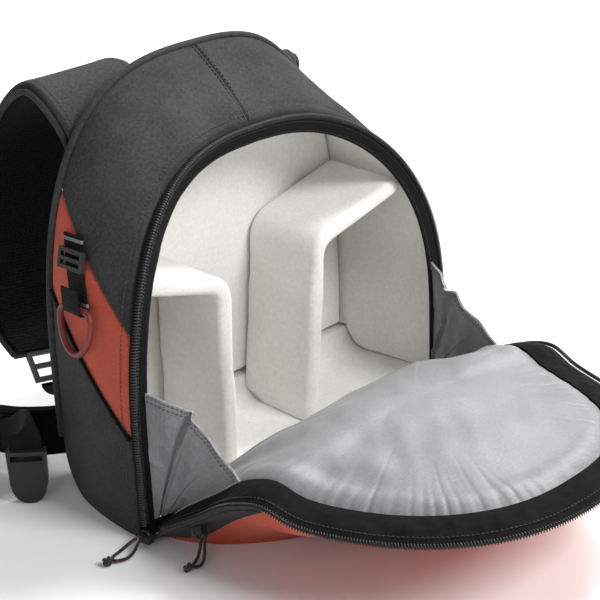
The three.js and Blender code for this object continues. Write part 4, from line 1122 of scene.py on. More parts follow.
    def build(self, bench: Bench) -> None:
        """All outer panels with their seams."""
        s = self.seam
        top, low = (lambda v: self.line(self.red_top, v)), (lambda v: self.line(self.red_low, v))
        self.panel(
            bench, "shell_upper", lambda v: top(v) + s, lambda v: -top(v) - s, 260, GREY_CLOTH, Slot.GREY, 4
        )
        deep = np.linspace(0.01, 0.985, 60)
        for side in Side:
            turn = -side.value
            self.panel(
                bench, f"shell_red_{side.tag}", lambda v: turn * (low(v) + s),
                lambda v: turn * (top(v) - s), 60, RED_CLOTH, Slot.RED, 11
            )
            self.panel(
                bench, f"shell_lower_{side.tag}", lambda v: turn * -1.0 + 0 * v,
                lambda v: turn * (low(v) - s), 70, GREY_CLOTH, Slot.GREY, 17
            )
            self.piping_line(bench, f"piping_{side.tag}", turn * low(deep), deep, BLACK_TAPE, Slot.TRIM)
            for number, (line, shift) in enumerate(((top, 0.0125), (low, 0.013), (low, -0.013))):
                where = turn * (line(deep) + shift * 0.62)
                stitches(
                    bench, f"seam_{side.tag}_{number}", self.form.point(where, deep, 0.1),
                    -self.form.normal(where, deep), GREY_THREAD, Slot.GREY
                )
        crest = np.linspace(0.02, 0.98, 60)
        for side in Side:
            where = self.form.along_across(side.value * self.seam_track, crest)
            path, out = self.form.point(where, crest, 0.45), -self.form.normal(where, crest)
            stitches(bench, f"seam_top_{side.tag}", path, out, BLACK_THREAD, Slot.GREY, 3.6, 0.7)
        around = np.linspace(-0.93, 0.93, 400)
        near = 1 - 9.0 / 104.0
        stitches(
            bench, "seam_rim", self.form.point(around, near, 0.3),
            -self.form.normal(around, np.full(400, near)), GREY_THREAD, Slot.GREY, 3.4
        )
        side = self.form.cloth + self.form.gap * 2
        outer = self.base_grid(0.0, side, 22, 61)
        bench.settle(
            bench.wall("shell_base", outer, self.base_grid(self.form.cloth, side, 22, 61)), GREY_CLOTH,
            Slot.GREY, "shell_base", fill=0.3
        )
        rear, front = self.plate(
            self.form.cloth + self.form.gap * 3, self.form.base_radius + self.form.gap, self.form.cloth,
            0.0, 0.0
        )
        bench.settle(
            bench.wall("shell_back", rear, front, loop=True), GREY_CLOTH, Slot.GREY, "shell_back", fill=0.3
        )
        bind = np.linspace(-0.93, 0.93, 300)
        path = self.form.point(bind, np.zeros(300), -self.form.gap + 0.6) + [0, 1.6, 0]
        bench.settle(bench.tube("back_binding", path, 2.9, 12), GREY_CLOTH, Slot.TRIM, "back_binding")


@dataclass
class Opening:
    """Black tape and zip round the opening."""

    form: BodyForm = field(default_factory=BodyForm)
    zip_radius: float = 2.3
    slider_top: float = 12.4

    def build(self, bench: Bench) -> None:
        """Tape, zip and the tape's stitches."""
        f = self.form
        along = np.linspace(-0.995, 0.995, 420)
        across = np.linspace(0, f.tape_width, 12)[:, None]
        swell = (
            0.7 * np.sin(math.pi * across / f.tape_width)
            + 0.25 * ripple(f.tape(along[None], across, 0), 22, 5)
        )
        front = f.tape(along[None], across, f.gap + f.tape_thick + swell)
        back = f.tape(along[None], across, np.full((12, 1), f.gap))
        bench.settle(bench.wall("rim_tape", front, back), BLACK_TAPE, Slot.TRIM, "rim_tape", fill=0.2)
        start = float(f.along_at(self.slider_top, 1.0))
        route = np.linspace(start, -start, 500)
        forward = f.gap * 2 + f.tape_thick + 1.2
        path = f.tape(route, self.zip_radius, forward)
        across_way = f.tape(route, self.zip_radius + 1, forward) - path
        ahead = np.tile([0.0, -1.0, 0.0], (len(path), 1))
        coil(bench, "rim_zip", path, across_way, ahead, "rim_zip")
        for number, inset in enumerate((6.0, f.tape_width - 1.6)):
            lift = f.gap + f.tape_thick + 0.75
            stitches(
                bench, f"tape_seam_{number}", f.tape(route, inset, lift), ahead, BLACK_THREAD, Slot.TRIM,
                3.2
            )


@dataclass
class Lining:
    """Plush inside the body, and two padded dividers with folded flaps."""

    shell: Shell = field(default_factory=Shell)
    thick: float = 14.0
    front: float = 87.0
    left: tuple[float, float, float, float] = (-58.0, 1.0, 160.0, 24.0)
    centre: tuple[float, float, float, float] = (30.0, 14.0, 163.0, 22.0)
    flap_clear: float = 3.0
    floor_start: float = 0.04

    def clear_half(self, z: float) -> float:
        """Widest place at a height that is clear of the plush on both sides."""
        f = self.shell.form
        inset = f.cloth + f.gap + f.plush + self.flap_clear
        return min(-float(f.skin(f.along_at(z, d), d)[0]) for d in (0.1, self.front / f.depth)) - inset

    def divider(
        self, bench: Bench, name: str, sizes: tuple[float, float, float, float], flap_side: int, seed: int
    ) -> None:
        """One divider.

        Args:
            bench: Makes the object.
            name: Its solid and object.
            sizes: Its foot, lean, height of its fold and rise of its flap.
            flap_side: -1 if its flap lies to the left, 1 if to the right.
            seed: Picks its dents.
        """
        f = self.shell.form
        foot, lean, top, rise = sizes
        end = flap_side * self.clear_half(top + rise + self.thick / 2)
        bend = self.thick
        low = np.array([mix(foot, foot + lean, 0.92), top - bend])
        knee = np.array([foot + lean, top])
        out = np.array([knee[0] + flap_side * bend, top + rise * 0.16])
        t = np.linspace(0, 1, 16)[:, None]
        fold = (1 - t) ** 2 * low + 2 * t * (1 - t) * knee + t**2 * out
        base = np.array([foot, 0.0])
        flap = mix(out, np.array([end, top + rise]), eased(34)[1:, None])
        line = np.concatenate([mix(base, low, np.linspace(0, 1, 40)[:-1, None]), fold, flap])
        way = unit(np.gradient(line, axis=0))
        side = np.stack([-way[:, 1], way[:, 0]], -1)
        rear, front, half = -f.cloth - f.plush - f.gap * 3, -self.front, self.thick / 2
        # rounded section: across the divider's thickness and from its rear to its front
        corner, count = 5.6, 9
        turn = np.linspace(0, math.pi / 2, count)
        quarter = np.stack([np.cos(turn), np.sin(turn)], -1) * corner
        corners = []
        for sx, sy, flip in ((1, 1, False), (-1, 1, True), (-1, -1, False), (1, -1, True)):
            part = quarter[::-1] if flip else quarter
            corners.append(part * [sx, sy] + [sx * (half - corner), sy * ((rear - front) / 2 - corner)])
        ring = np.concatenate(corners)
        cross = []
        for i in range(len(ring)):
            a, b = ring[i], ring[(i + 1) % len(ring)]
            steps = max(1, int(np.linalg.norm(b - a) / 6))
            cross += [mix(a, b, k / steps) for k in range(steps)]
        cross = np.array(cross)
        near_end = np.concatenate([[0], np.cumsum(np.linalg.norm(np.diff(line, axis=0), axis=1))])
        near_end = near_end[-1] - near_end
        shrink = np.sqrt(1 - (1 - np.minimum(1, near_end / 6.0)) ** 2) * 0.97 + 0.03
        a = cross[None, :, 0] * np.where(near_end < 6, shrink, 1)[:, None]
        y = (rear + front) / 2 + cross[None, :, 1] * (1 - 0.04 * (1 - shrink))[:, None]
        x = line[:, None, 0] + side[:, None, 0] * a
        z = line[:, None, 1] + side[:, None, 1] * a
        floor = f.floor_top(y) + f.gap * 2
        z = np.where(line[:, None, 1] < low[1] - 1e-9, mix(floor, low[1], line[:, None, 1] / low[1]), z)
        points = np.stack(np.broadcast_arrays(x, y, z), -1)
        calm = np.clip(np.minimum(points[..., 2] - 14, 20) / 20, 0, 1)
        dent = 0.8 * ripple(points, 46, seed)[..., None] * calm[..., None]
        points[..., 0:1] += side[:, None, 0:1] * np.sign(a)[..., None] * dent
        bench.settle(bench.sweep(name, points), WHITE_PLUSH, Slot.PLUSH, name, fill=0.8)

    def build(self, bench: Bench) -> None:
        """Floor, back, walls and dividers."""
        f = self.shell.form
        inner = f.cloth + f.gap
        side = inner + f.gap
        lift = inner + f.floor_plush
        outer = self.shell.base_grid(inner, side, 26, 61, self.floor_start, -f.depth + f.gap)
        top = self.shell.base_grid(lift, side, 26, 61, self.floor_start, -f.depth + f.gap)
        edge = np.minimum.reduce(edge_distances(top))
        top[..., 2] += 0.5 * ripple(top, 40, 8) * np.minimum(1, edge / 8) - 1.2 * np.exp(-edge / 2.5)
        bench.settle(bench.wall("plush_floor", top, outer), WHITE_PLUSH, Slot.PLUSH, "plush_floor", fill=0.7)
        front, back = self.shell.plate(
            inner + f.gap * 4 + f.plush, f.base_radius + f.cloth, f.plush, -inner, 1.5
        )
        front[..., 1] += 0.7 * ripple(front, 60, 9)
        bench.settle(
            bench.wall("plush_back", front, back, loop=True), WHITE_PLUSH, Slot.PLUSH, "plush_back",
            fill=0.7
        )
        share = np.linspace(-1, 1, 241)
        rear = -inner - f.gap * 4
        rows = eased(22)
        first = np.full(share.shape, 0.99)
        for _ in range(3):
            foot = -f.along_at(f.floor_top(f.rim_y(0.0) * first) + 1, first)
            first = f.deep_at(share * foot, inner + f.plush, rear)
        deep = mix(first[None], 0.99, rows[:, None])
        foot = -f.along_at(f.floor_top(f.rim_y(0.0) * deep) + 1, deep)
        along = share[None] * foot
        flat = f.point(along, deep, inner + f.plush)
        down = 1.6 * np.exp(-(edge_distances(flat)[1]) / 2.5) + 0.6 * ripple(flat, 50, 10)
        walls = bench.wall(
            "plush_walls", f.point(along, deep, inner + f.plush - down), f.point(along, deep, inner)
        )
        bench.settle(walls, WHITE_PLUSH, Slot.PLUSH, "plush_walls", fill=0.7)
        self.divider(bench, "divider_left", self.left, -1, 21)
        self.divider(bench, "divider_centre", self.centre, 1, 22)


# Lid.


@dataclass
class Lid:
    """The lid: red cloth below, black band and zip round it, puckered silver lining on top."""

    form: LidForm = field(default_factory=LidForm)
    body: BodyForm = field(default_factory=BodyForm)
    ends: float = 0.998
    thin: float = 1.2
    pocket_thick: float = 1.6
    puckers: int = 62
    pucker_wide: float = 0.0075
    pucker_last: float = 0.97
    lining_ease: float = 1.35
    lining_power: float = 2.3
    drape: float = 1.5
    pocket_first: float = 0.953
    pocket_last: float = 0.726
    pocket_deep: float = 0.43
    pocket_end: float = 0.04
    flank_first: float = 0.992
    flank_deep: float = 0.9
    flank_power: float = 11.0
    reach: float = 0.3
    fold: float = 8.0
    fold_lift: float = 1.1
    crease: float = 0.4
    mark: tuple[int, int] = (32, 14)
    mark_radius: float = 9.0
    hem_rows: int = 5
    hem_thick: float = 0.8
    corner_rows: tuple[float, float] = (-0.085, 0.018)
    corner_rise: float = 0.9
    gusset_first: float = 0.975
    gusset_low: float = 12.0
    gusset_high: float = 116.0

    def panel(self, bench: Bench) -> None:
        """Outer cloth with soft folds on its flanks."""
        around = np.linspace(-self.ends, self.ends, 300)
        middle = np.array([0, self.form.hinge - self.form.contact_length * 0.5, 0.0])
        rim = self.form.under(around, np.ones(300))

        def grid(lift: float, crease: float) -> np.ndarray:
            """Rows from the middle of the floor out and up to the zip."""
            rows = [mix(middle, rim, k) + [0, 0, lift] for k in np.linspace(0, 1, 10)[:-1]]
            for share in eased(30)[::-1]:
                p = self.form.under(around, np.full(300, share), lift)
                swell = math.sin(math.pi * share) * crease
                p[:, 2] += swell * 1.6 * ripple(p, 48, 31) * np.minimum(1, p[:, 2] / 20)
                rows.append(p)
            return np.stack(rows)

        obj = bench.wall("lid_panel", grid(0, 1), grid(self.form.cloth, 1), loop=True)
        bench.settle(obj, RED_CLOTH, Slot.RED, "lid_panel", fill=0.3)

    def band(self, bench: Bench) -> None:
        """Black band inside the zip, and the zip itself."""
        around = np.linspace(-self.ends, self.ends, 420)
        inset = np.linspace(1, self.form.band, 16)[:, None]
        top = self.form.top(around[None], inset)
        wave = np.sin(math.pi * (inset - 1) / (self.form.band - 1))
        top[..., 2] += 1.6 * wave + wave * (0.9 * ripple(top, 34, 33) + 0.5 * ripple(top, 15, 34))
        low = self.form.top(around[None], inset) - [0, 0, 2.0]
        bench.settle(bench.wall("lid_band", top, low), BLACK_CLOTH, Slot.TRIM, "lid_band", fill=0.3)
        route = np.linspace(-0.95, 0.95, 560)
        path = self.form.loop(route, -1.9)
        across = self.form.loop(route, -0.9) - path
        out = np.cross(tangents(path), unit(across))
        out *= np.sign(out[:, 2:3])
        coil(bench, "lid_zip", path, across, out, "lid_zip")
        stitches(
            bench, "band_seam", self.form.top(route, 5.0) + [0, 0, 1.1],
            np.tile([0.0, 0, 1], (len(route), 1)), BLACK_THREAD, Slot.TRIM, 3.2
        )

    def lining(self, bench: Bench) -> None:
        """Silver lining, gathered where it meets the band."""
        form = self.form
        centre = np.array(
            [0, form.hinge - form.length * 0.4, form.height + form.band_rise + form.lining_crown]
        )
        around = np.linspace(-self.ends, self.ends, 460)
        edge = form.top(around, form.band + 0.4)
        hinge_x = np.linspace(edge[-1, 0], edge[0, 0], 90)[1:-1]
        hinge = np.stack([hinge_x, np.full(88, form.hinge), np.full(88, form.hinge_lining)], -1)
        rim = np.concatenate([edge, hinge])
        share = (1 - (1 - np.linspace(0, 1, 54)) ** self.lining_ease)[:, None]
        plan = mix(centre, rim[None], share[..., None])
        plan[..., 2] = mix(centre[2], rim[None, :, 2], share**self.lining_power)
        from_edge = np.linalg.norm(plan - rim[None], axis=-1)
        turn = np.concatenate([around, np.linspace(1, 1.3, 88)])[None]
        plan[..., 2] += self.gather(plan, from_edge, turn)
        under = plan - [0, 0, self.thin]
        obj = bench.wall("lid_lining", plan, under, loop=True, sharp=70)
        self.flat_uv(obj)
        bench.settle(obj, SILVER_CLOTH, Slot.SILVER, "lid_lining")

    def gather(self, plan: np.ndarray, from_edge: np.ndarray, turn: np.ndarray) -> np.ndarray:
        """Heights of the lining's puckers and long soft folds.

        Args:
            plan: Points of the lining.
            from_edge: Their distances from its sewn edge.
            turn: Share of the edge that each column belongs to.

        Returns:
            One height for each point.
        """
        rng = np.random.default_rng(3)
        height = np.zeros_like(from_edge)
        for share in np.linspace(-self.pucker_last, self.pucker_last, self.puckers):
            middle = share + rng.uniform(-0.011, 0.011)
            deep, reach, lean = rng.uniform(0.4, 1.9), rng.uniform(6, 21), rng.uniform(-4e-4, 4e-4)
            away = (turn - middle - lean * from_edge) / (self.pucker_wide * rng.uniform(0.7, 1.4))
            height -= (
                deep * np.exp(-(away**2)) * np.exp(-from_edge / reach)
                * np.minimum(1, from_edge / 1.5 + 0.3)
            )
        corner = plan[-1, 0]
        apart = plan - corner
        far = np.linalg.norm(apart[..., :2], axis=-1)
        angle = np.arctan2(apart[..., 1], apart[..., 0])
        fan = np.sin(angle * 15 + 0.8 * np.sin(far / 55)) * np.exp(-far / 170) * np.minimum(1, far / 30)
        calm = np.minimum(1, from_edge / 25)
        height += self.drape * calm * (fan + 1.1 * ripple(plan, 105, 35))
        return height + 2.4 * np.exp(-(((from_edge - 12) / 9) ** 2)) - 2.0 * np.exp(-from_edge / 3)

    @staticmethod
    def area(grid: np.ndarray) -> float:
        """Area of a grid of points, in square metres."""
        a = np.linalg.norm(np.cross(grid[1:, :-1] - grid[:-1, :-1], grid[:-1, 1:] - grid[:-1, :-1]), axis=-1)
        b = np.linalg.norm(np.cross(grid[1:, :-1] - grid[1:, 1:], grid[:-1, 1:] - grid[1:, 1:]), axis=-1)
        return float((a.sum() + b.sum()) / 2 * MM * MM)

    @staticmethod
    def flat_uv(obj: bpy.types.Object) -> None:
        """Lays the cloth's threads along x and y."""
        mesh = obj.data
        place = np.empty(len(mesh.vertices) * 3, np.float32)
        mesh.vertices.foreach_get("co", place)
        index = np.empty(len(mesh.loops), dtype=np.int32)
        mesh.loops.foreach_get("vertex_index", index)
        mesh.uv_layers[0].data.foreach_set("uv", place.reshape(-1, 3)[index][:, :2].ravel())

    def pockets(self, bench: Bench) -> None:
        """Grey panels on the flanks beside the hinge."""
        for side in Side:
            k = np.linspace(0, 1, 90)[None]
            share = np.linspace(0, 1, 26)[:, None] * (self.pocket_end + self.pocket_deep * (1 - k**3))
            where = side.value * np.broadcast_to(mix(self.pocket_first, self.pocket_last, k), share.shape)
            flat = self.form.under(where, share)
            away = np.array([side.value, 0, -0.5])
            edge = np.minimum.reduce(edge_distances(flat))
            near = self.body.gap * 2
            swell = (
                near + self.pocket_thick - 0.9 * np.exp(-edge / 2)
                + 0.5 * np.minimum(1, edge / 10) * ripple(flat, 40, 37)
            )
            obj = bench.wall(f"lid_pocket_{side.tag}", flat + away * swell[..., None], flat + away * near)
            bench.settle(obj, GREY_CLOTH, Slot.GREY, f"lid_pocket_{side.tag}", fill=0.2)
            self.flank(bench, side)

    def flank(self, bench: Bench, side: Side) -> None:
        """Grey cloth round a pocket panel, down to a curved seam in the red cloth."""
        k = np.linspace(0, 1, 110)[None]
        low = self.pocket_end + self.flank_deep * (1 - k**self.flank_power)
        share = np.linspace(0, 1, 36)[:, None] * low
        where = side.value * np.broadcast_to(mix(self.flank_first, self.pocket_last, k), share.shape)
        hem = self.form.loop(where[:1], 1.0) - [0, 0, self.form.roll]
        flat = np.concatenate([hem, self.form.under(where, share)])
        away = np.array([side.value, 0, -0.5])
        edge = np.minimum.reduce(edge_distances(flat))
        swell = 1.2 - 1.05 * np.exp(-edge / 1.6)
        obj = bench.wall(f"lid_flank_{side.tag}", flat + away * swell[..., None], flat - away * 0.4)
        bench.settle(obj, GREY_CLOTH, Slot.GREY)
        inner = flat[-2] + away * 0.95
        stitches(
            bench, f"flank_seam_{side.tag}", inner, np.tile(unit(away), (len(inner), 1)), BLACK_THREAD,
            Slot.GREY, 3.2
        )

    def edges(self, a: np.ndarray, side: Side) -> tuple[np.ndarray, np.ndarray]:
        """A gusset's two lines, on the opening's tape and on the lid's band.

        Args:
            a: Shares of the gusset's height, one to a row.
            side: Left or right.

        Returns:
            The points on the tape and the points on the band.
        """
        z = mix(self.gusset_low, self.gusset_high, a)
        ahead = self.body.gap * 2 + self.body.tape_thick + 1
        rim = self.body.tape(self.body.along_at(z, 1.0), self.body.tape_width - 3, ahead)
        rim = np.stack([-rim[..., 0] * side.value, rim[..., 1], z], -1)
        last = 1 - math.asin(self.reach) / (math.pi / 2)
        low = self.form.top(mix(self.gusset_first, last, a), self.form.band - 3)
        low = np.stack([low[..., 0] * side.value, low[..., 1], low[..., 2] + self.thin + 1], -1)
        return rim, low

    def gusset(self, bench: Bench, side: Side) -> None:
        """Silver cloth between the opening and the lid, folded inward."""
        sign = side.value
        a = np.linspace(0.02, 1, 60)[:, None]
        b = np.linspace(0, 1, 91)[None, :]
        sheet = mix(*self.edges(a, side), b[..., None])
        tuck = self.fold * a * np.minimum(b / self.crease, (1 - b) / (1 - self.crease))
        sheet[..., 0] -= sign * tuck
        sheet[..., 2] += tuck * self.fold_lift
        n = normals(sheet)
        n *= np.where(n[..., :1].mean() * sign > 0, -1, 1)
        fold = self.crease - 0.16 * (1 - a)
        crease = np.sin(b * math.pi) ** 0.7 * (
            1.3 * ripple(sheet, 50, 41) + 0.5 * ripple(sheet, 16, 43)
            + 1.2 * np.sin((b * 6.5 + a * 2.2) * math.pi + 0.6) * a
            + 3.4 * np.exp(-((b - fold) / 0.012) ** 2 * 0.35)
            - 1.6 * np.exp(-(((b - fold - 0.06) / 0.03) ** 2))
            + 1.6 * np.exp(-(((b - 0.62 - 0.2 * a) / 0.02) ** 2)) * (1 - a)
        )
        mark = np.linalg.norm(sheet - sheet[self.mark], axis=-1)
        crease = crease - 0.9 * np.exp(-(((mark - self.mark_radius) / 1.4) ** 2))
        sheet = sheet + n * crease[..., None]
        obj = bench.wall(f"gusset_{side.tag}", sheet, sheet + n * self.thin, sharp=70)
        bench.settle(obj, SILVER_CLOTH, Slot.SILVER, f"gusset_{side.tag}")
        hem, way = sheet[-self.hem_rows:], n[-self.hem_rows:]
        round_off = (
            self.hem_thick
            * np.sqrt(np.sin(np.linspace(0.05, 0.95, self.hem_rows) * math.pi))[:, None, None]
        )
        bound = bench.wall(
            f"gusset_hem_{side.tag}", hem - way * round_off, hem + way * (self.thin + round_off), sharp=70
        )
        bench.settle(bound, SILVER_CLOTH, Slot.SILVER)
        for number, row in enumerate((1, self.hem_rows - 2)):
            for face, off in (("in", -self.hem_thick), ("out", self.hem_thick + self.thin)):
                stitches(
                    bench, f"gusset_seam_{side.tag}_{number}_{face}", hem[row] + way[row] * off,
                    way[row] * math.copysign(1, off), GREY_THREAD, Slot.SILVER, 3.4, 0.35,
                )

    def corner(self, bench: Bench, side: Side) -> None:
        """Dark cloth that closes the corner below a gusset."""
        a = np.linspace(*self.corner_rows, 10)[:, None]
        b = np.linspace(0, 1, 24)[None, :]
        cloth = mix(*self.edges(a, side), b[..., None])
        cloth[..., 2] += self.corner_rise * np.sin(b * math.pi)
        obj = bench.wall(f"corner_tab_{side.tag}", cloth, cloth - [side.value * 0.8, 0, 0.3])
        bench.settle(obj, BLACK_CLOTH, Slot.TRIM)

    def seam(self, bench: Bench) -> None:
        """Bound seam along the hinge."""
        front = -self.body.depth - self.body.gap
        depth = front - self.form.hinge - self.body.gap
        x = np.linspace(-1, 1, 90) * (self.form.half - self.body.tape_width - 0.8)
        turn = np.linspace(0, 2 * math.pi, 14, endpoint=False)
        ring = np.stack([np.zeros(14), np.cos(turn) * depth / 2, np.sin(turn) * 1.5], -1)
        rows = np.stack([np.array([v, front - depth / 2, 1.8]) + ring for v in x])
        bench.settle(bench.sweep("lid_seam", rows), BLACK_TAPE, Slot.TRIM, "lid_seam")

    def build(self, bench: Bench) -> None:
        """Every piece of the lid."""
        self.panel(bench)
        self.band(bench)
        self.lining(bench)
        self.pockets(bench)
        for side in Side:
            self.gusset(bench, side)
            self.corner(bench, side)
        self.seam(bench)


# Harness and hard pieces.


def rounded(half: float, near: float, far: float, corner: float, crown: float) -> np.ndarray:
    """Section of a padded band: width and thickness of each point around it."""
    low, high = min(near, far), max(near, far)
    corner = min(corner, (high - low) / 2 - 0.05)
    turn = np.linspace(0, math.pi / 2, 6)
    points = []
    for cx, cy, start in ((half, high, 0), (-half, high, 1), (-half, low, 2), (half, low, 3)):
        sx, sy = math.copysign(1, cx), (1 if cy == high else -1)
        arc = turn + start * math.pi / 2
        points.append(
            np.stack([cx - sx * corner + corner * np.cos(arc), cy - sy * corner + corner * np.sin(arc)], -1)
        )
    ring = np.concatenate(points)
    dense = []
    for i in range(len(ring)):
        a, b = ring[i], ring[(i + 1) % len(ring)]
        count = max(1, int(np.linalg.norm(b - a) / 5))
        dense += [mix(a, b, k / count) for k in range(count)]
    dense = np.array(dense)
    rise = crown * (1 - (dense[:, 0] / max(half, 1e-6)) ** 2)
    dense[:, 1] += np.where(dense[:, 1] > (low + high) / 2, rise, 0) * (1 if far > near else 0)
    dense[:, 1] -= np.where(dense[:, 1] < (low + high) / 2, rise, 0) * (1 if far < near else 0)
    return dense


@dataclass
class Harness:
    """Back pad, shoulder straps and hip wings with their webbing."""

    back_half: float = 154.0
    back_top: float = 316.0
    spread: float = 80.0
    reach: float = 100.0
    root: float = 7.8
    right_stands: float = 0.4
    settle: float = 0.25
    web_lead: float = 10.0
    web_rise: float = 20.0
    strap_thick: float = 7.0
    binding: float = 2.6
    binding_out: float = 1.6
    mesh_thick: float = 5.0
    width: float = 78.0
    web: float = 25.0
    web_thick: float = 2.0
    wing_height: float = 38.0
    wing_low: float = 18.0
    wing_thick: float = 11.0
    wing_spread: float = 178.0
    wing_reach: float = 135.0
    ladder: float = 26.0
    gap: float = 0.4
    strap_line: tuple[tuple[float, float, float, float], ...] = (
        (0.9, 0.008, 0.785, 1.0), (0.93, 0.052, 0.845, 1.02), (0.96, 0.13, 0.9, 1.08),
        (0.99, 0.25, 0.935, 1.12),
        (1.02, 0.41, 0.942, 1.06), (1.06, 0.62, 0.9, 1.0), (1.11, 0.83, 0.81, 0.95), (1.17, 0.95, 0.68, 0.9),
        (1.24, 0.98, 0.54, 0.88), (1.31, 0.93, 0.41, 0.86), (1.38, 0.81, 0.3, 0.82),
        (1.44, 0.63, 0.245, 0.62),
    )
    wing_line: tuple[tuple[float, float, float], ...] = (
        (0.42, 0.0, 1.0), (0.64, 0.015, 1.0), (0.83, 0.13, 1.0), (0.96, 0.34, 1.0), (1.02, 0.62, 0.92),
        (1.02, 0.84, 0.78), (1.0, 1.0, 0.55),
    )

    def bands(
        self, path: np.ndarray, wide: np.ndarray, out: np.ndarray, half: np.ndarray, near: float,
        far: float, corner: float, crown: float
    ) -> np.ndarray:
        """Sections of a padded band along a path, with rounded ends."""
        rows = []
        for p, w, o, h in zip(path, wide, out, half):
            ring = rounded(h, near, far, corner, crown)
            rows.append(p + ring[:, :1] * w + ring[:, 1:] * o)
        count = min(len(r) for r in rows)
        rows = [
            r[np.round(np.linspace(0, len(r) - 1, count)).astype(int)] if len(r) != count else r
            for r in rows
        ]
        return np.stack(rows)

    def strap(self, bench: Bench, side: Side) -> None:
        """A shoulder strap and the webbing from its ladder lock to the bag's corner."""
        s, tag = side.value, side.tag
        table = np.array(self.strap_line)
        share = np.linspace(0, 1, 90)
        anchor, out_by, up = table[0, 2], table[:, 1], table[:, 2]
        stands = 1.0 if side is Side.LEFT else self.right_stands
        rise = np.where(up > anchor, mix(1.0, stands, np.minimum(1, out_by / self.settle)), 1.0)
        z = self.back_top * (anchor + (up - anchor) * rise)
        path = catmull(
            np.stack([s * self.spread * table[:, 0], self.root + self.reach * out_by, z], -1), share
        )
        run = tangents(path)
        wide = unit(np.array([1.0, 0, 0]) - run * run[:, :1])
        out = unit(np.cross(wide, run))
        half = self.width / 2 * np.interp(share * (len(table) - 1), np.arange(len(table)), table[:, 3])
        ring_half = float(half.max())
        scale = half / ring_half
        for name, near, far, corner, finish, slot in (
            (f"strap_{tag}", 0.0, self.strap_thick, 3.2, GREY_CLOTH, Slot.GREY),
            (f"strap_mesh_{tag}", -self.gap, -self.gap - self.mesh_thick, 2.4, BLACK_MESH, Slot.MESH),
        ):
            ring = rounded(ring_half, near, far, corner, 0.0)
            sections = (
                path[:, None] + (ring[None, :, :1] * scale[:, None, None]) * wide[:, None]
                + ring[None, :, 1:] * out[:, None]
            )
            bench.settle(bench.sweep(name, sections), finish, slot, name, fill=0.6)
        for number, edge in enumerate((-1, 1)):
            line = path + wide * (edge * (half + self.binding_out))[:, None] + out * -0.2
            bench.settle(
                bench.tube(f"strap_edge_{tag}_{number}", line[6:], self.binding, 8), GREY_CLOTH, Slot.GREY
            )
            inner = path + wide * (edge * (half - 6.5))[:, None] + out * self.strap_thick
            stitches(bench, f"strap_seam_{tag}_{number}", inner[2:-2], out[2:-2], GREY_THREAD, Slot.GREY)
        end, way = path[-1], run[-1]
        start = end + way * (self.ladder + self.gap * 2 + 1)
        sewn = self.wing_low + self.wing_height + self.web_rise
        target = np.array([s * (self.back_half - self.web), self.web_thick + self.gap * 2, sewn])
        middle = start + way * self.web_lead
        t = np.linspace(0, 1, 40)[:, None]
        line = (1 - t) ** 2 * start + 2 * t * (1 - t) * middle + t**2 * target
        run2 = tangents(line)
        wide2 = unit(np.array([1.0, 0, 0]) - run2 * run2[:, :1])
        rows = self.bands(
            line, wide2, unit(np.cross(wide2, run2)), np.full(40, self.web / 2), 0, self.web_thick, 0.9, 0.0
        )
        bench.settle(bench.sweep(f"strap_webbing_{tag}", rows), BLACK_WEB, Slot.WEB, f"strap_webbing_{tag}")

    def wing(self, bench: Bench, side: Side) -> None:
        """A hip wing with its webbing."""
        s, tag = side.value, side.tag
        table = np.array(self.wing_line)
        share = np.linspace(0, 1, 80)
        anchor = np.stack(
            [
                s * self.wing_spread * table[:, 0],
                self.wing_thick / 2 + self.gap + self.wing_reach * table[:, 1],
                np.full(len(table), self.wing_low + self.wing_height / 2)
            ],
            -1
        )
        path = catmull(anchor, share)
        run = tangents(path)
        up = np.tile([0.0, 0, 1], (80, 1))
        out = unit(np.cross(up, run)) * -s
        half = self.wing_height / 2 * np.interp(share * (len(table) - 1), np.arange(len(table)), table[:, 2])
        big = float(half.max())
        ring = rounded(big, -self.wing_thick / 2, self.wing_thick / 2, 4.5, 0.0)
        sections = (
            path[:, None] + (ring[None, :, :1] * (half / big)[:, None, None]) * up[:, None]
            + ring[None, :, 1:] * out[:, None]
        )
        sections = sections + out[:, None] * (0.5 * ripple(sections, 30, 51))[..., None]
        bench.settle(
            bench.sweep(f"hip_wing_{tag}", sections), BLACK_MESH, Slot.MESH, f"hip_wing_{tag}", fill=0.7
        )
        for number, edge in enumerate((-1, 1)):
            line = path + up * (edge * (half - 0.4))[:, None] + out * (self.wing_thick / 2 - 1.2)
            bench.settle(bench.tube(f"wing_edge_{tag}_{number}", line, 1.6, 8), BLACK_TAPE, Slot.TRIM)
        knots = np.linspace(0, 1, 13)
        where = catmull(anchor, knots)
        tangent = tangents(catmull(anchor, np.array([0.495, 0.5, 0.505])))[1]
        away = unit(np.cross([0.0, 0, 1], tangent)) * -s
        off = self.wing_thick / 2 + self.web_thick / 2 + self.gap * 2
        p0 = where[6] + away * off
        top = np.array([s * (self.wing_spread + 10), 1.0, 44.3 + self.gap * 2])
        p1 = p0 - tangent * 26 + away * off / 2
        p2 = top + [0, 1, 38]
        t = np.linspace(0, 1, 50)[:, None]
        line = (1 - t) ** 3 * p0 + 3 * t * (1 - t) ** 2 * p1 + 3 * t**2 * (1 - t) * p2 + t**3 * top
        way = tangents(line)
        face = unit(np.array([1.0, s * 0.9, 0]))
        wide = mix(np.array([[0.0, 0, 1]]), (-s * face)[None], t**3)
        wide = unit(wide - way * np.sum(wide * way, 1, keepdims=True))
        rows = self.bands(
            line, wide, np.cross(wide, way), np.full(50, self.web / 2), -self.web_thick / 2,
            self.web_thick / 2, 0.9, 0.0
        )
        bench.settle(bench.sweep(f"hip_webbing_{tag}", rows), BLACK_WEB, Slot.WEB, f"hip_webbing_{tag}")

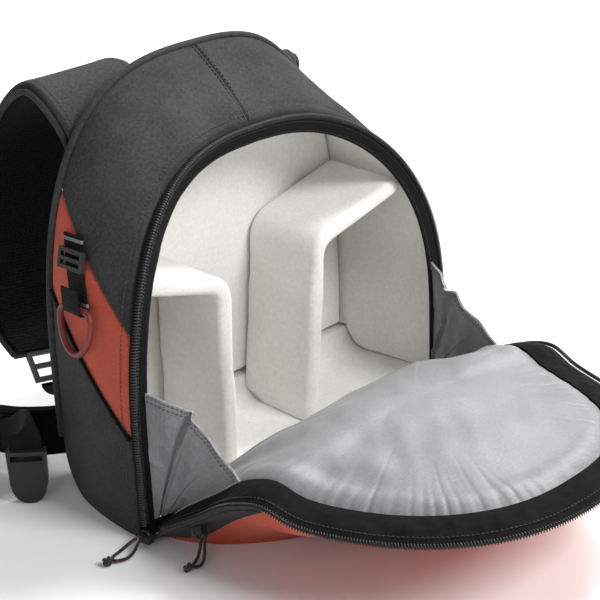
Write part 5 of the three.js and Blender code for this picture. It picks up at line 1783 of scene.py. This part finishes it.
    def pad(self, bench: Bench) -> None:
        """Back pad with two channels."""
        low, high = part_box("back_pad")
        box_low, box_high = (np.array(v) / MM - [0, bench.back / MM, 0] for v in (low, high))
        form = BodyForm()
        left = float(form.along_at(box_low[2] + 22, 0.0))
        along = np.linspace(left, -left, 140)
        p = form.skin(along, 0.0)
        x = p[:, 0] * (1 - 22 / form.back_half)
        z = mix(box_low[2], box_high[2], (p[:, 2] - box_low[2]) / (form.back_top - box_low[2]))
        z = np.maximum(z, box_low[2])
        foot = np.stack([np.linspace(x[-1], x[0], 50)[1:-1], np.full(48, box_low[2])], -1)
        rim = np.concatenate([np.stack([x, z], -1), foot])
        middle = np.array([0, (box_low[2] + box_high[2]) / 2])
        share = (1 - (1 - np.linspace(0, 1, 44)) ** 1.5)[:, None, None]
        flat = mix(middle, rim[None], share)
        edge = np.linalg.norm(rim[None] - flat, axis=-1)
        lift = 12.0 * np.sqrt(np.clip(1 - (1 - np.minimum(1, edge / 9)) ** 2, 0, 1)) * 0.94 + 0.7
        for at in (-42.0, 42.0):
            lift -= 3.2 * np.exp(-(((flat[..., 0] - at) / 3.5) ** 2)) * np.minimum(1, edge / 12)
        lift += (
            0.5 * ripple(np.stack([flat[..., 0], lift, flat[..., 1]], -1), 40, 61)
            * np.minimum(1, edge / 12)
        )
        outer = np.stack([flat[..., 0], lift + 0.4, flat[..., 1]], -1)
        inner = np.stack([flat[..., 0], np.full(lift.shape, 0.4), flat[..., 1]], -1)
        bench.settle(
            bench.wall("back_pad", outer, inner, loop=True, sharp=80), BLACK_MESH, Slot.MESH, "back_pad",
            fill=0.8
        )

    def build(self, bench: Bench) -> None:
        """Every piece of the harness."""
        self.pad(bench)
        for side in Side:
            self.strap(bench, side)
            self.wing(bench, side)


@dataclass
class Hardware:
    """Plastic and metal pieces: gear ring, glide, ladder locks, buckles and sliders."""

    form: BodyForm = field(default_factory=BodyForm)
    web_width: float = 21.0
    web_thick: float = 1.6
    top: float = 213.0
    low: float = 166.0
    top_deep: float = 0.3
    low_deep: float = 0.47
    ring_half: float = 19.0
    ring_tall: float = 34.0
    wire: float = 2.4
    tuck: float = 13.0
    standoff: float = 0.8
    gap: float = 0.4
    bevel_steps: int = 3
    bevel_angle: float = 35.0
    bars: tuple[float, ...] = (0.06, 0.94)
    bar_lift: float = 0.35

    def frame(self, z: float) -> tuple[np.ndarray, np.ndarray, np.ndarray, np.ndarray]:
        """Place, way out, way down and way across on the left side at a height."""
        deep = mix(self.top_deep, self.low_deep, (self.top - z) / (self.top - self.low))
        along = self.form.along_at(z, deep)
        point = self.form.point(along, deep, 0.0)
        out = unit(point - self.form.point(along, deep, 1.0))
        down = unit(self.form.point(self.form.along_at(z - 4, deep), deep, 0.0) - point)
        return point, out, down, unit(np.cross(down, out))

    def gear(self, bench: Bench) -> None:
        """Webbing loop and its ring."""
        turn_radius = self.wire + self.web_thick / 2 + self.gap
        layer = self.web_thick / 2 + self.standoff
        line, across = [], []
        for z in np.linspace(self.top, self.low, 22):
            point, out, _, wide = self.frame(float(z))
            line.append(point + out * layer)
            across.append(wide)
        point, out, down, wide = self.frame(self.low)
        for a in np.linspace(0, math.pi, 12)[1:]:
            line.append(
                point + down * turn_radius * math.sin(a)
                + out * (layer + turn_radius - turn_radius * math.cos(a))
            )
            across.append(wide)
        last, last_out, _, last_wide = self.frame(self.low + self.tuck)
        for k in np.linspace(0, 1, 8)[1:]:
            line.append(mix(line[32], last + last_out * (layer + turn_radius * 1.9), k))
            across.append(last_wide)
        path, across = np.array(line), np.array(across)
        run = tangents(path)
        up = unit(np.cross(across, run))
        rows = []
        for p, w, u in zip(path, across, up):
            ring = rounded(self.web_width / 2, -self.web_thick / 2, self.web_thick / 2, 0.7, 0.0)
            rows.append(p + ring[:, :1] * w + ring[:, 1:] * u)
        bench.settle(bench.sweep("gear_webbing", np.stack(rows)), BLACK_WEB, Slot.WEB, "gear_webbing")
        # Two light grey strips across the webbing stand where the glide's edges catch the light: painted
        # highlight.
        for number, place in enumerate(self.bars):
            spot = int(place * 21)
            piece = [
                path[i] + across[i] * (w * self.web_width / 2)
                + up[i] * (h * (self.web_thick / 2 + self.bar_lift))
                for i in (spot, spot + 1) for w, h in ((-1.02, -1), (1.02, -1), (1.02, 1), (-1.02, 1))
            ]
            highlight_rows = np.array(piece).reshape(2, 4, 3)
            highlight_rows = mix(highlight_rows[0], highlight_rows[1], np.linspace(0, 1, 4)[:, None, None])
            bench.settle(bench.sweep(f"gear_bar_{number}", highlight_rows), HIGHLIGHT_STRIP, Slot.WEB)
        drop = self.ring_half - self.web_width / 2 - 1
        bar = self.ring_half - drop
        arcs = [
            (bar + drop * math.cos(a), drop + drop * math.sin(a)) for a in np.linspace(-math.pi / 2, 0, 9)
        ]
        arcs += [
            (self.ring_half * math.cos(a), drop + (self.ring_tall - drop) * math.sin(a))
            for a in np.linspace(0, math.pi, 41)[1:-1]
        ]
        arcs += [
            (-bar + drop * math.cos(a), drop + drop * math.sin(a))
            for a in np.linspace(math.pi, 1.5 * math.pi, 9)
        ]
        straight = [(mix(-bar, bar, k), 0.0) for k in np.linspace(0, 1, 10)[1:-1]]
        flat = np.array(arcs + straight)
        hang = point + out * (layer + turn_radius)
        path = hang + flat[:, :1] * wide + flat[:, 1:] * down
        bench.settle(
            bench.tube("gear_ring", path, self.wire, 14, closed=True), RED_PLASTIC, Slot.RING, "gear_ring"
        )

    def keep(self, nodes: dict[str, bpy.types.Object], name: str, finish: Finish, bevel: float) -> None:
        """Rounds the edges of a hard solid and dresses it."""
        obj = nodes[name]
        mod = obj.modifiers.new("round", "BEVEL")
        mod.width = bevel * MM
        mod.segments = self.bevel_steps
        mod.limit_method = "ANGLE"
        mod.angle_limit = math.radians(self.bevel_angle)
        obj.data.materials.clear()
        obj.data.materials.append(finish.material())
        log.info("%s: kept from the model", name)

    def build(self, bench: Bench, nodes: dict[str, bpy.types.Object]) -> None:
        """Every hard piece."""
        self.gear(bench)
        self.keep(nodes, "gear_glide", BLACK_PLASTIC, 0.8)
        for side in Side:
            self.keep(nodes, f"strap_ladder_{side.tag}", BLACK_PLASTIC, 1.0)
            self.keep(nodes, f"hip_buckle_{side.tag}", BLACK_PLASTIC, 1.6)
        self.keep(nodes, "slider_main", BLACK_METAL, 0.9)
        self.keep(nodes, "slider_pocket", BLACK_METAL, 0.9)


@dataclass
class Pulls:
    """Cord pulls on the two sliders, each a loop of cord that ends in a knot."""

    lid: LidForm = field(default_factory=LidForm)
    cord: float = 1.2
    spread: float = 4.0
    knot: float = 4.0
    knot_turn: float = 0.58
    knot_thick: float = 0.36
    bridge_long: float = 0.34
    bridge_high: float = 2.4
    bridge_wire: float = 0.9
    slider_length: float = 11.0
    slider_width: float = 9.0
    slider_height: float = 6.0
    slider_wide: float = 0.2
    gap: float = 0.4
    main_reach: float = 24.0
    pocket_reach: float = 12.0
    pocket_around: float = 0.86
    pocket_down: float = 0.3
    pocket_cloth: float = 1.6
    main_rows: tuple[tuple[float, float, float], ...] = (
        (0, 0.45, 1), (0.12, 0.7, 0.86), (0.3, 1.1, 0.45), (0.52, 1.3, 0.08), (0.76, 1.15, 0),
        (0.94, 0.65, 0.05),
    )
    pocket_rows: tuple[tuple[float, float, float], ...] = (
        (0, 0.45, 1), (0.2, 0.55, 0.7), (0.3, 0.7, 0.4), (0.48, 0.85, 0.12), (0.78, 0.8, 0), (0.96, 0.45, 0),
    )

    def loop_points(
        self, start: np.ndarray, rows: Sequence[Sequence[float]], reach: float, run: np.ndarray,
        side: np.ndarray
    ) -> np.ndarray:
        """Points of a loop that leaves a slider, lies down and comes back.

        Args:
            start: Where the loop leaves the slider.
            rows: Reach, spread and height of each point of one leg.
            reach: How far the loop lies from the slider.
            run: Direction away from the slider along the floor.
            side: Direction from one leg to the other.

        Returns:
            The points, from one leg round to the other.
        """
        floor = self.cord * 2
        legs = []
        for turn in (-1, 1):
            leg = [
                [*(start + run * (a * reach) + side * (turn * w * self.spread))[:2], mix(floor, start[2], up)]
                for a, w, up in rows
            ]
            legs.append(np.array(leg))
        far = start + run * reach
        far[2] = floor
        return np.concatenate([legs[0], [far], legs[1][::-1]])

    def pull(
        self, bench: Bench, name: str, knot: str, start: np.ndarray, rows: Sequence[Sequence[float]],
        reach: float, run: np.ndarray, side: np.ndarray,
    ) -> None:
        """One cord with its knot.

        Args:
            bench: Makes the objects.
            name: The cord's solid.
            knot: The knot's solid.
            start: Where the cord leaves its slider.
            rows: Reach, spread and height of each point of one leg.
            reach: How far the loop lies from the slider.
            run: Direction away from the slider along the floor.
            side: Direction from one leg to the other.
        """
        route = self.loop_points(start, rows, reach, run, side)
        path = catmull(route, np.linspace(0, 1, 97))
        obj = bench.tube(name, path, self.cord, 12)
        bench.settle(obj, PULL_CORD, Slot.CORD, name)
        tied = self.tie(bench, knot, start, reach, run, side)
        points = [tuple(p) for p in bench.place(path[::3])]

    def tie(
        self, bench: Bench, name: str, start: np.ndarray, reach: float, run: np.ndarray, side: np.ndarray
    ) -> bpy.types.Object:
        """An overhand knot: one cord wound on itself around its middle."""
        centre = start + run * (reach + self.cord + self.knot + 0.1)
        centre[2] = self.knot + 0.3
        turn = np.linspace(0, 2 * math.pi, 90, endpoint=False)
        small = self.knot * self.knot_turn
        up = np.array([0, 0, 1.0])
        wide = (2.05 + np.cos(3 * turn)) / 3.05 * small
        path = (
            centre
            + side * (wide * np.cos(2 * turn))[:, None]
            + up * (wide * np.sin(2 * turn))[:, None]
            + run * (np.sin(3 * turn) * small * 0.75)[:, None]
        )
        obj = bench.tube(name, path, self.knot * self.knot_thick, 12, closed=True)
        return bench.settle(obj, PULL_CORD, Slot.CORD, name)

    def bridge(self, bench: Bench, name: str, middle: np.ndarray, run: np.ndarray, out: np.ndarray) -> None:
        """Metal bridge over a slider, where its pull hooks in."""
        turn = np.linspace(0, math.pi, 17)[:, None]
        base = middle + out * (self.slider_height / 2 - 0.4)
        path = (
            base + run * np.cos(turn) * self.slider_length * self.bridge_long
            + out * np.sin(turn) * self.bridge_high
        )
        bench.settle(bench.tube(name, path, self.bridge_wire, 10), BLACK_METAL, Slot.SLIDER)

    def build(self, bench: Bench) -> None:
        """Both pulls."""
        long, wide, tall = self.slider_length, self.slider_width, self.slider_height
        away = np.array([-1.0, 0, 0])
        main = np.array(
            [-self.lid.half - wide / 2, self.lid.hinge - long / 2 - self.gap * 1.5, 5.6 + tall / 2]
        )
        edge = wide / 2 + self.gap * 1.5
        up = np.array([0, 0, 1.0])
        self.bridge(bench, "slider_bridge_main", main, np.array([0, 1.0, 0]), up)
        start = main + away * edge + [0, long * self.slider_wide, 0]
        self.pull(
            bench, "pull_cord_main", "pull_knot_main", start, self.main_rows, self.main_reach, away,
            np.array([0, 1.0, 0]),
        )

        def at(turn: float, down: float) -> np.ndarray:
            """A place on the lid's cloth near the pocket's slider."""
            return self.lid.under(-self.pocket_around - turn, self.pocket_down + down)

        run = unit(at(0.02, 0) - at(-0.02, 0))
        out = unit(np.cross(run, unit(at(0, 0.06) - at(0, -0.06))))
        out *= -np.sign(out[0])
        across = unit(np.cross(run, out))
        down = -across * np.sign(across[2])
        point = at(0, 0) + out * (tall / 2 + self.gap * 3 + self.pocket_cloth)
        self.bridge(bench, "slider_bridge_pocket", point, run, out)
        start = point + down * (edge + self.cord) + run * long * self.slider_wide + out * tall / 3
        self.pull(
            bench, "pull_cord_pocket", "pull_knot_pocket", start, self.pocket_rows, self.pocket_reach, away,
            run,
        )


@dataclass
class Studio:
    """Camera at the photo's place, pale floor and soft lights."""

    bench: Bench
    eye: tuple[float, float, float] = (-765.592, -889.878, 637.402)
    azimuth: float = -44.32
    elevation: float = 24.64
    roll: float = -1.97
    lens: float = 95.56
    sensor: float = 36.0
    near: float = 0.05
    far: float = 50.0
    floor_front: float = -6.0
    floor_rear: float = 2.2
    floor_turn: float = 1.5
    floor_high: float = 6.0
    floor_half: float = 8.0
    world: float = 0.27
    aim: tuple[float, float, float] = (0.0, 0.0, 0.12)
    lamps: tuple[tuple[str, tuple[float, float, float], float, float], ...] = (
        ("lamp_top", (1.7, 0.2, 2.1), 1.2, 112),
        ("lamp_key", (0.5, -2.0, 2.0), 1.1, 60),
        ("lamp_left", (-2.2, -1.0, 1.2), 1.4, 8),
    )

    def camera(self) -> None:
        """The scene's camera."""
        data = bpy.data.cameras.new("camera")
        data.lens, data.sensor_width = self.lens, self.sensor
        data.clip_start, data.clip_end = self.near, self.far
        obj = bpy.data.objects.new("camera", data)
        bpy.context.scene.collection.objects.link(obj)
        az, el, roll = (math.radians(v) for v in (self.azimuth, self.elevation, self.roll))
        back = np.array([math.sin(az) * math.cos(el), -math.cos(az) * math.cos(el), math.sin(el)])
        right = np.array([math.cos(az), math.sin(az), 0.0])
        up = np.cross(back, right)
        turned = math.cos(roll) * right + math.sin(roll) * up
        over = -math.sin(roll) * right + math.cos(roll) * up
        frame = np.eye(4)
        frame[:3, 0], frame[:3, 1], frame[:3, 2] = turned, over, back
        frame[:3, 3] = self.bench.place(self.eye)
        obj.matrix_world = Matrix(frame.tolist())
        bpy.context.scene.camera = obj

    def floor(self) -> None:
        """Large pale floor that turns up into a backdrop."""
        rear, turn = self.floor_rear, self.floor_turn
        profile = [(self.floor_front, 0.0), (rear, 0.0)]
        profile += [
            (rear + turn * math.sin(a), turn - turn * math.cos(a))
            for a in np.linspace(0, math.pi / 2, 16)[1:]
        ]
        profile.append((rear + turn, self.floor_high))
        way = np.array([math.sin(math.radians(-self.azimuth)), math.cos(math.radians(-self.azimuth)), 0])
        side = np.array([way[1], -way[0], 0])
        rows = [
            [way * a + side * s + [0, 0, z] for s in (-self.floor_half, self.floor_half)]
            for a, z in profile
        ]
        points = np.array(rows).reshape(-1, 3)
        faces = [[2 * i, 2 * i + 1, 2 * i + 3, 2 * i + 2] for i in range(len(rows) - 1)]
        mesh = bpy.data.meshes.new("floor")
        mesh.from_pydata(points.tolist(), [], faces)
        mesh.shade_smooth()
        obj = bpy.data.objects.new("floor", mesh)
        obj.data.materials.append(FLOOR.material())
        bpy.context.scene.collection.objects.link(obj)

    def lamp(self, name: str, place: Sequence[float], size: float, power: float) -> None:
        """One soft square light that faces the bag."""
        data = bpy.data.lights.new(name, "AREA")
        data.energy, data.size = power, size
        obj = bpy.data.objects.new(name, data)
        obj.location = place
        way = Vector(self.aim) - Vector(place)
        obj.rotation_euler = way.to_track_quat("-Z", "Y").to_euler()
        bpy.context.scene.collection.objects.link(obj)

    def build(self) -> None:
        """Everything that isn't the bag."""
        self.camera()
        self.floor()
        world = bpy.data.worlds.new("studio")
        world.use_nodes = True
        shade = world.node_tree.nodes["Background"]
        shade.inputs["Color"].default_value = (1, 1, 1, 1)
        shade.inputs["Strength"].default_value = self.world
        bpy.context.scene.world = world
        for lamp in self.lamps:
            self.lamp(*lamp)
        bpy.context.scene.view_settings.view_transform = "Standard"


def main() -> None:
    """Builds the pieces in order."""
    logging.basicConfig(level=logging.INFO, format="%(message)s")
    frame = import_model()
    bench = Bench(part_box("shell_back")[1][1])
    Studio(bench).build()
    Pulls().build(bench)
    Hardware().build(bench, frame["nodes"])
    Shell().build(bench)
    Opening().build(bench)
    Lining().build(bench)
    Lid().build(bench)
    Harness().build(bench)
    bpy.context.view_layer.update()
    log.info("%d pieces", len(bench.made))


if __name__ == "__main__":
    main()
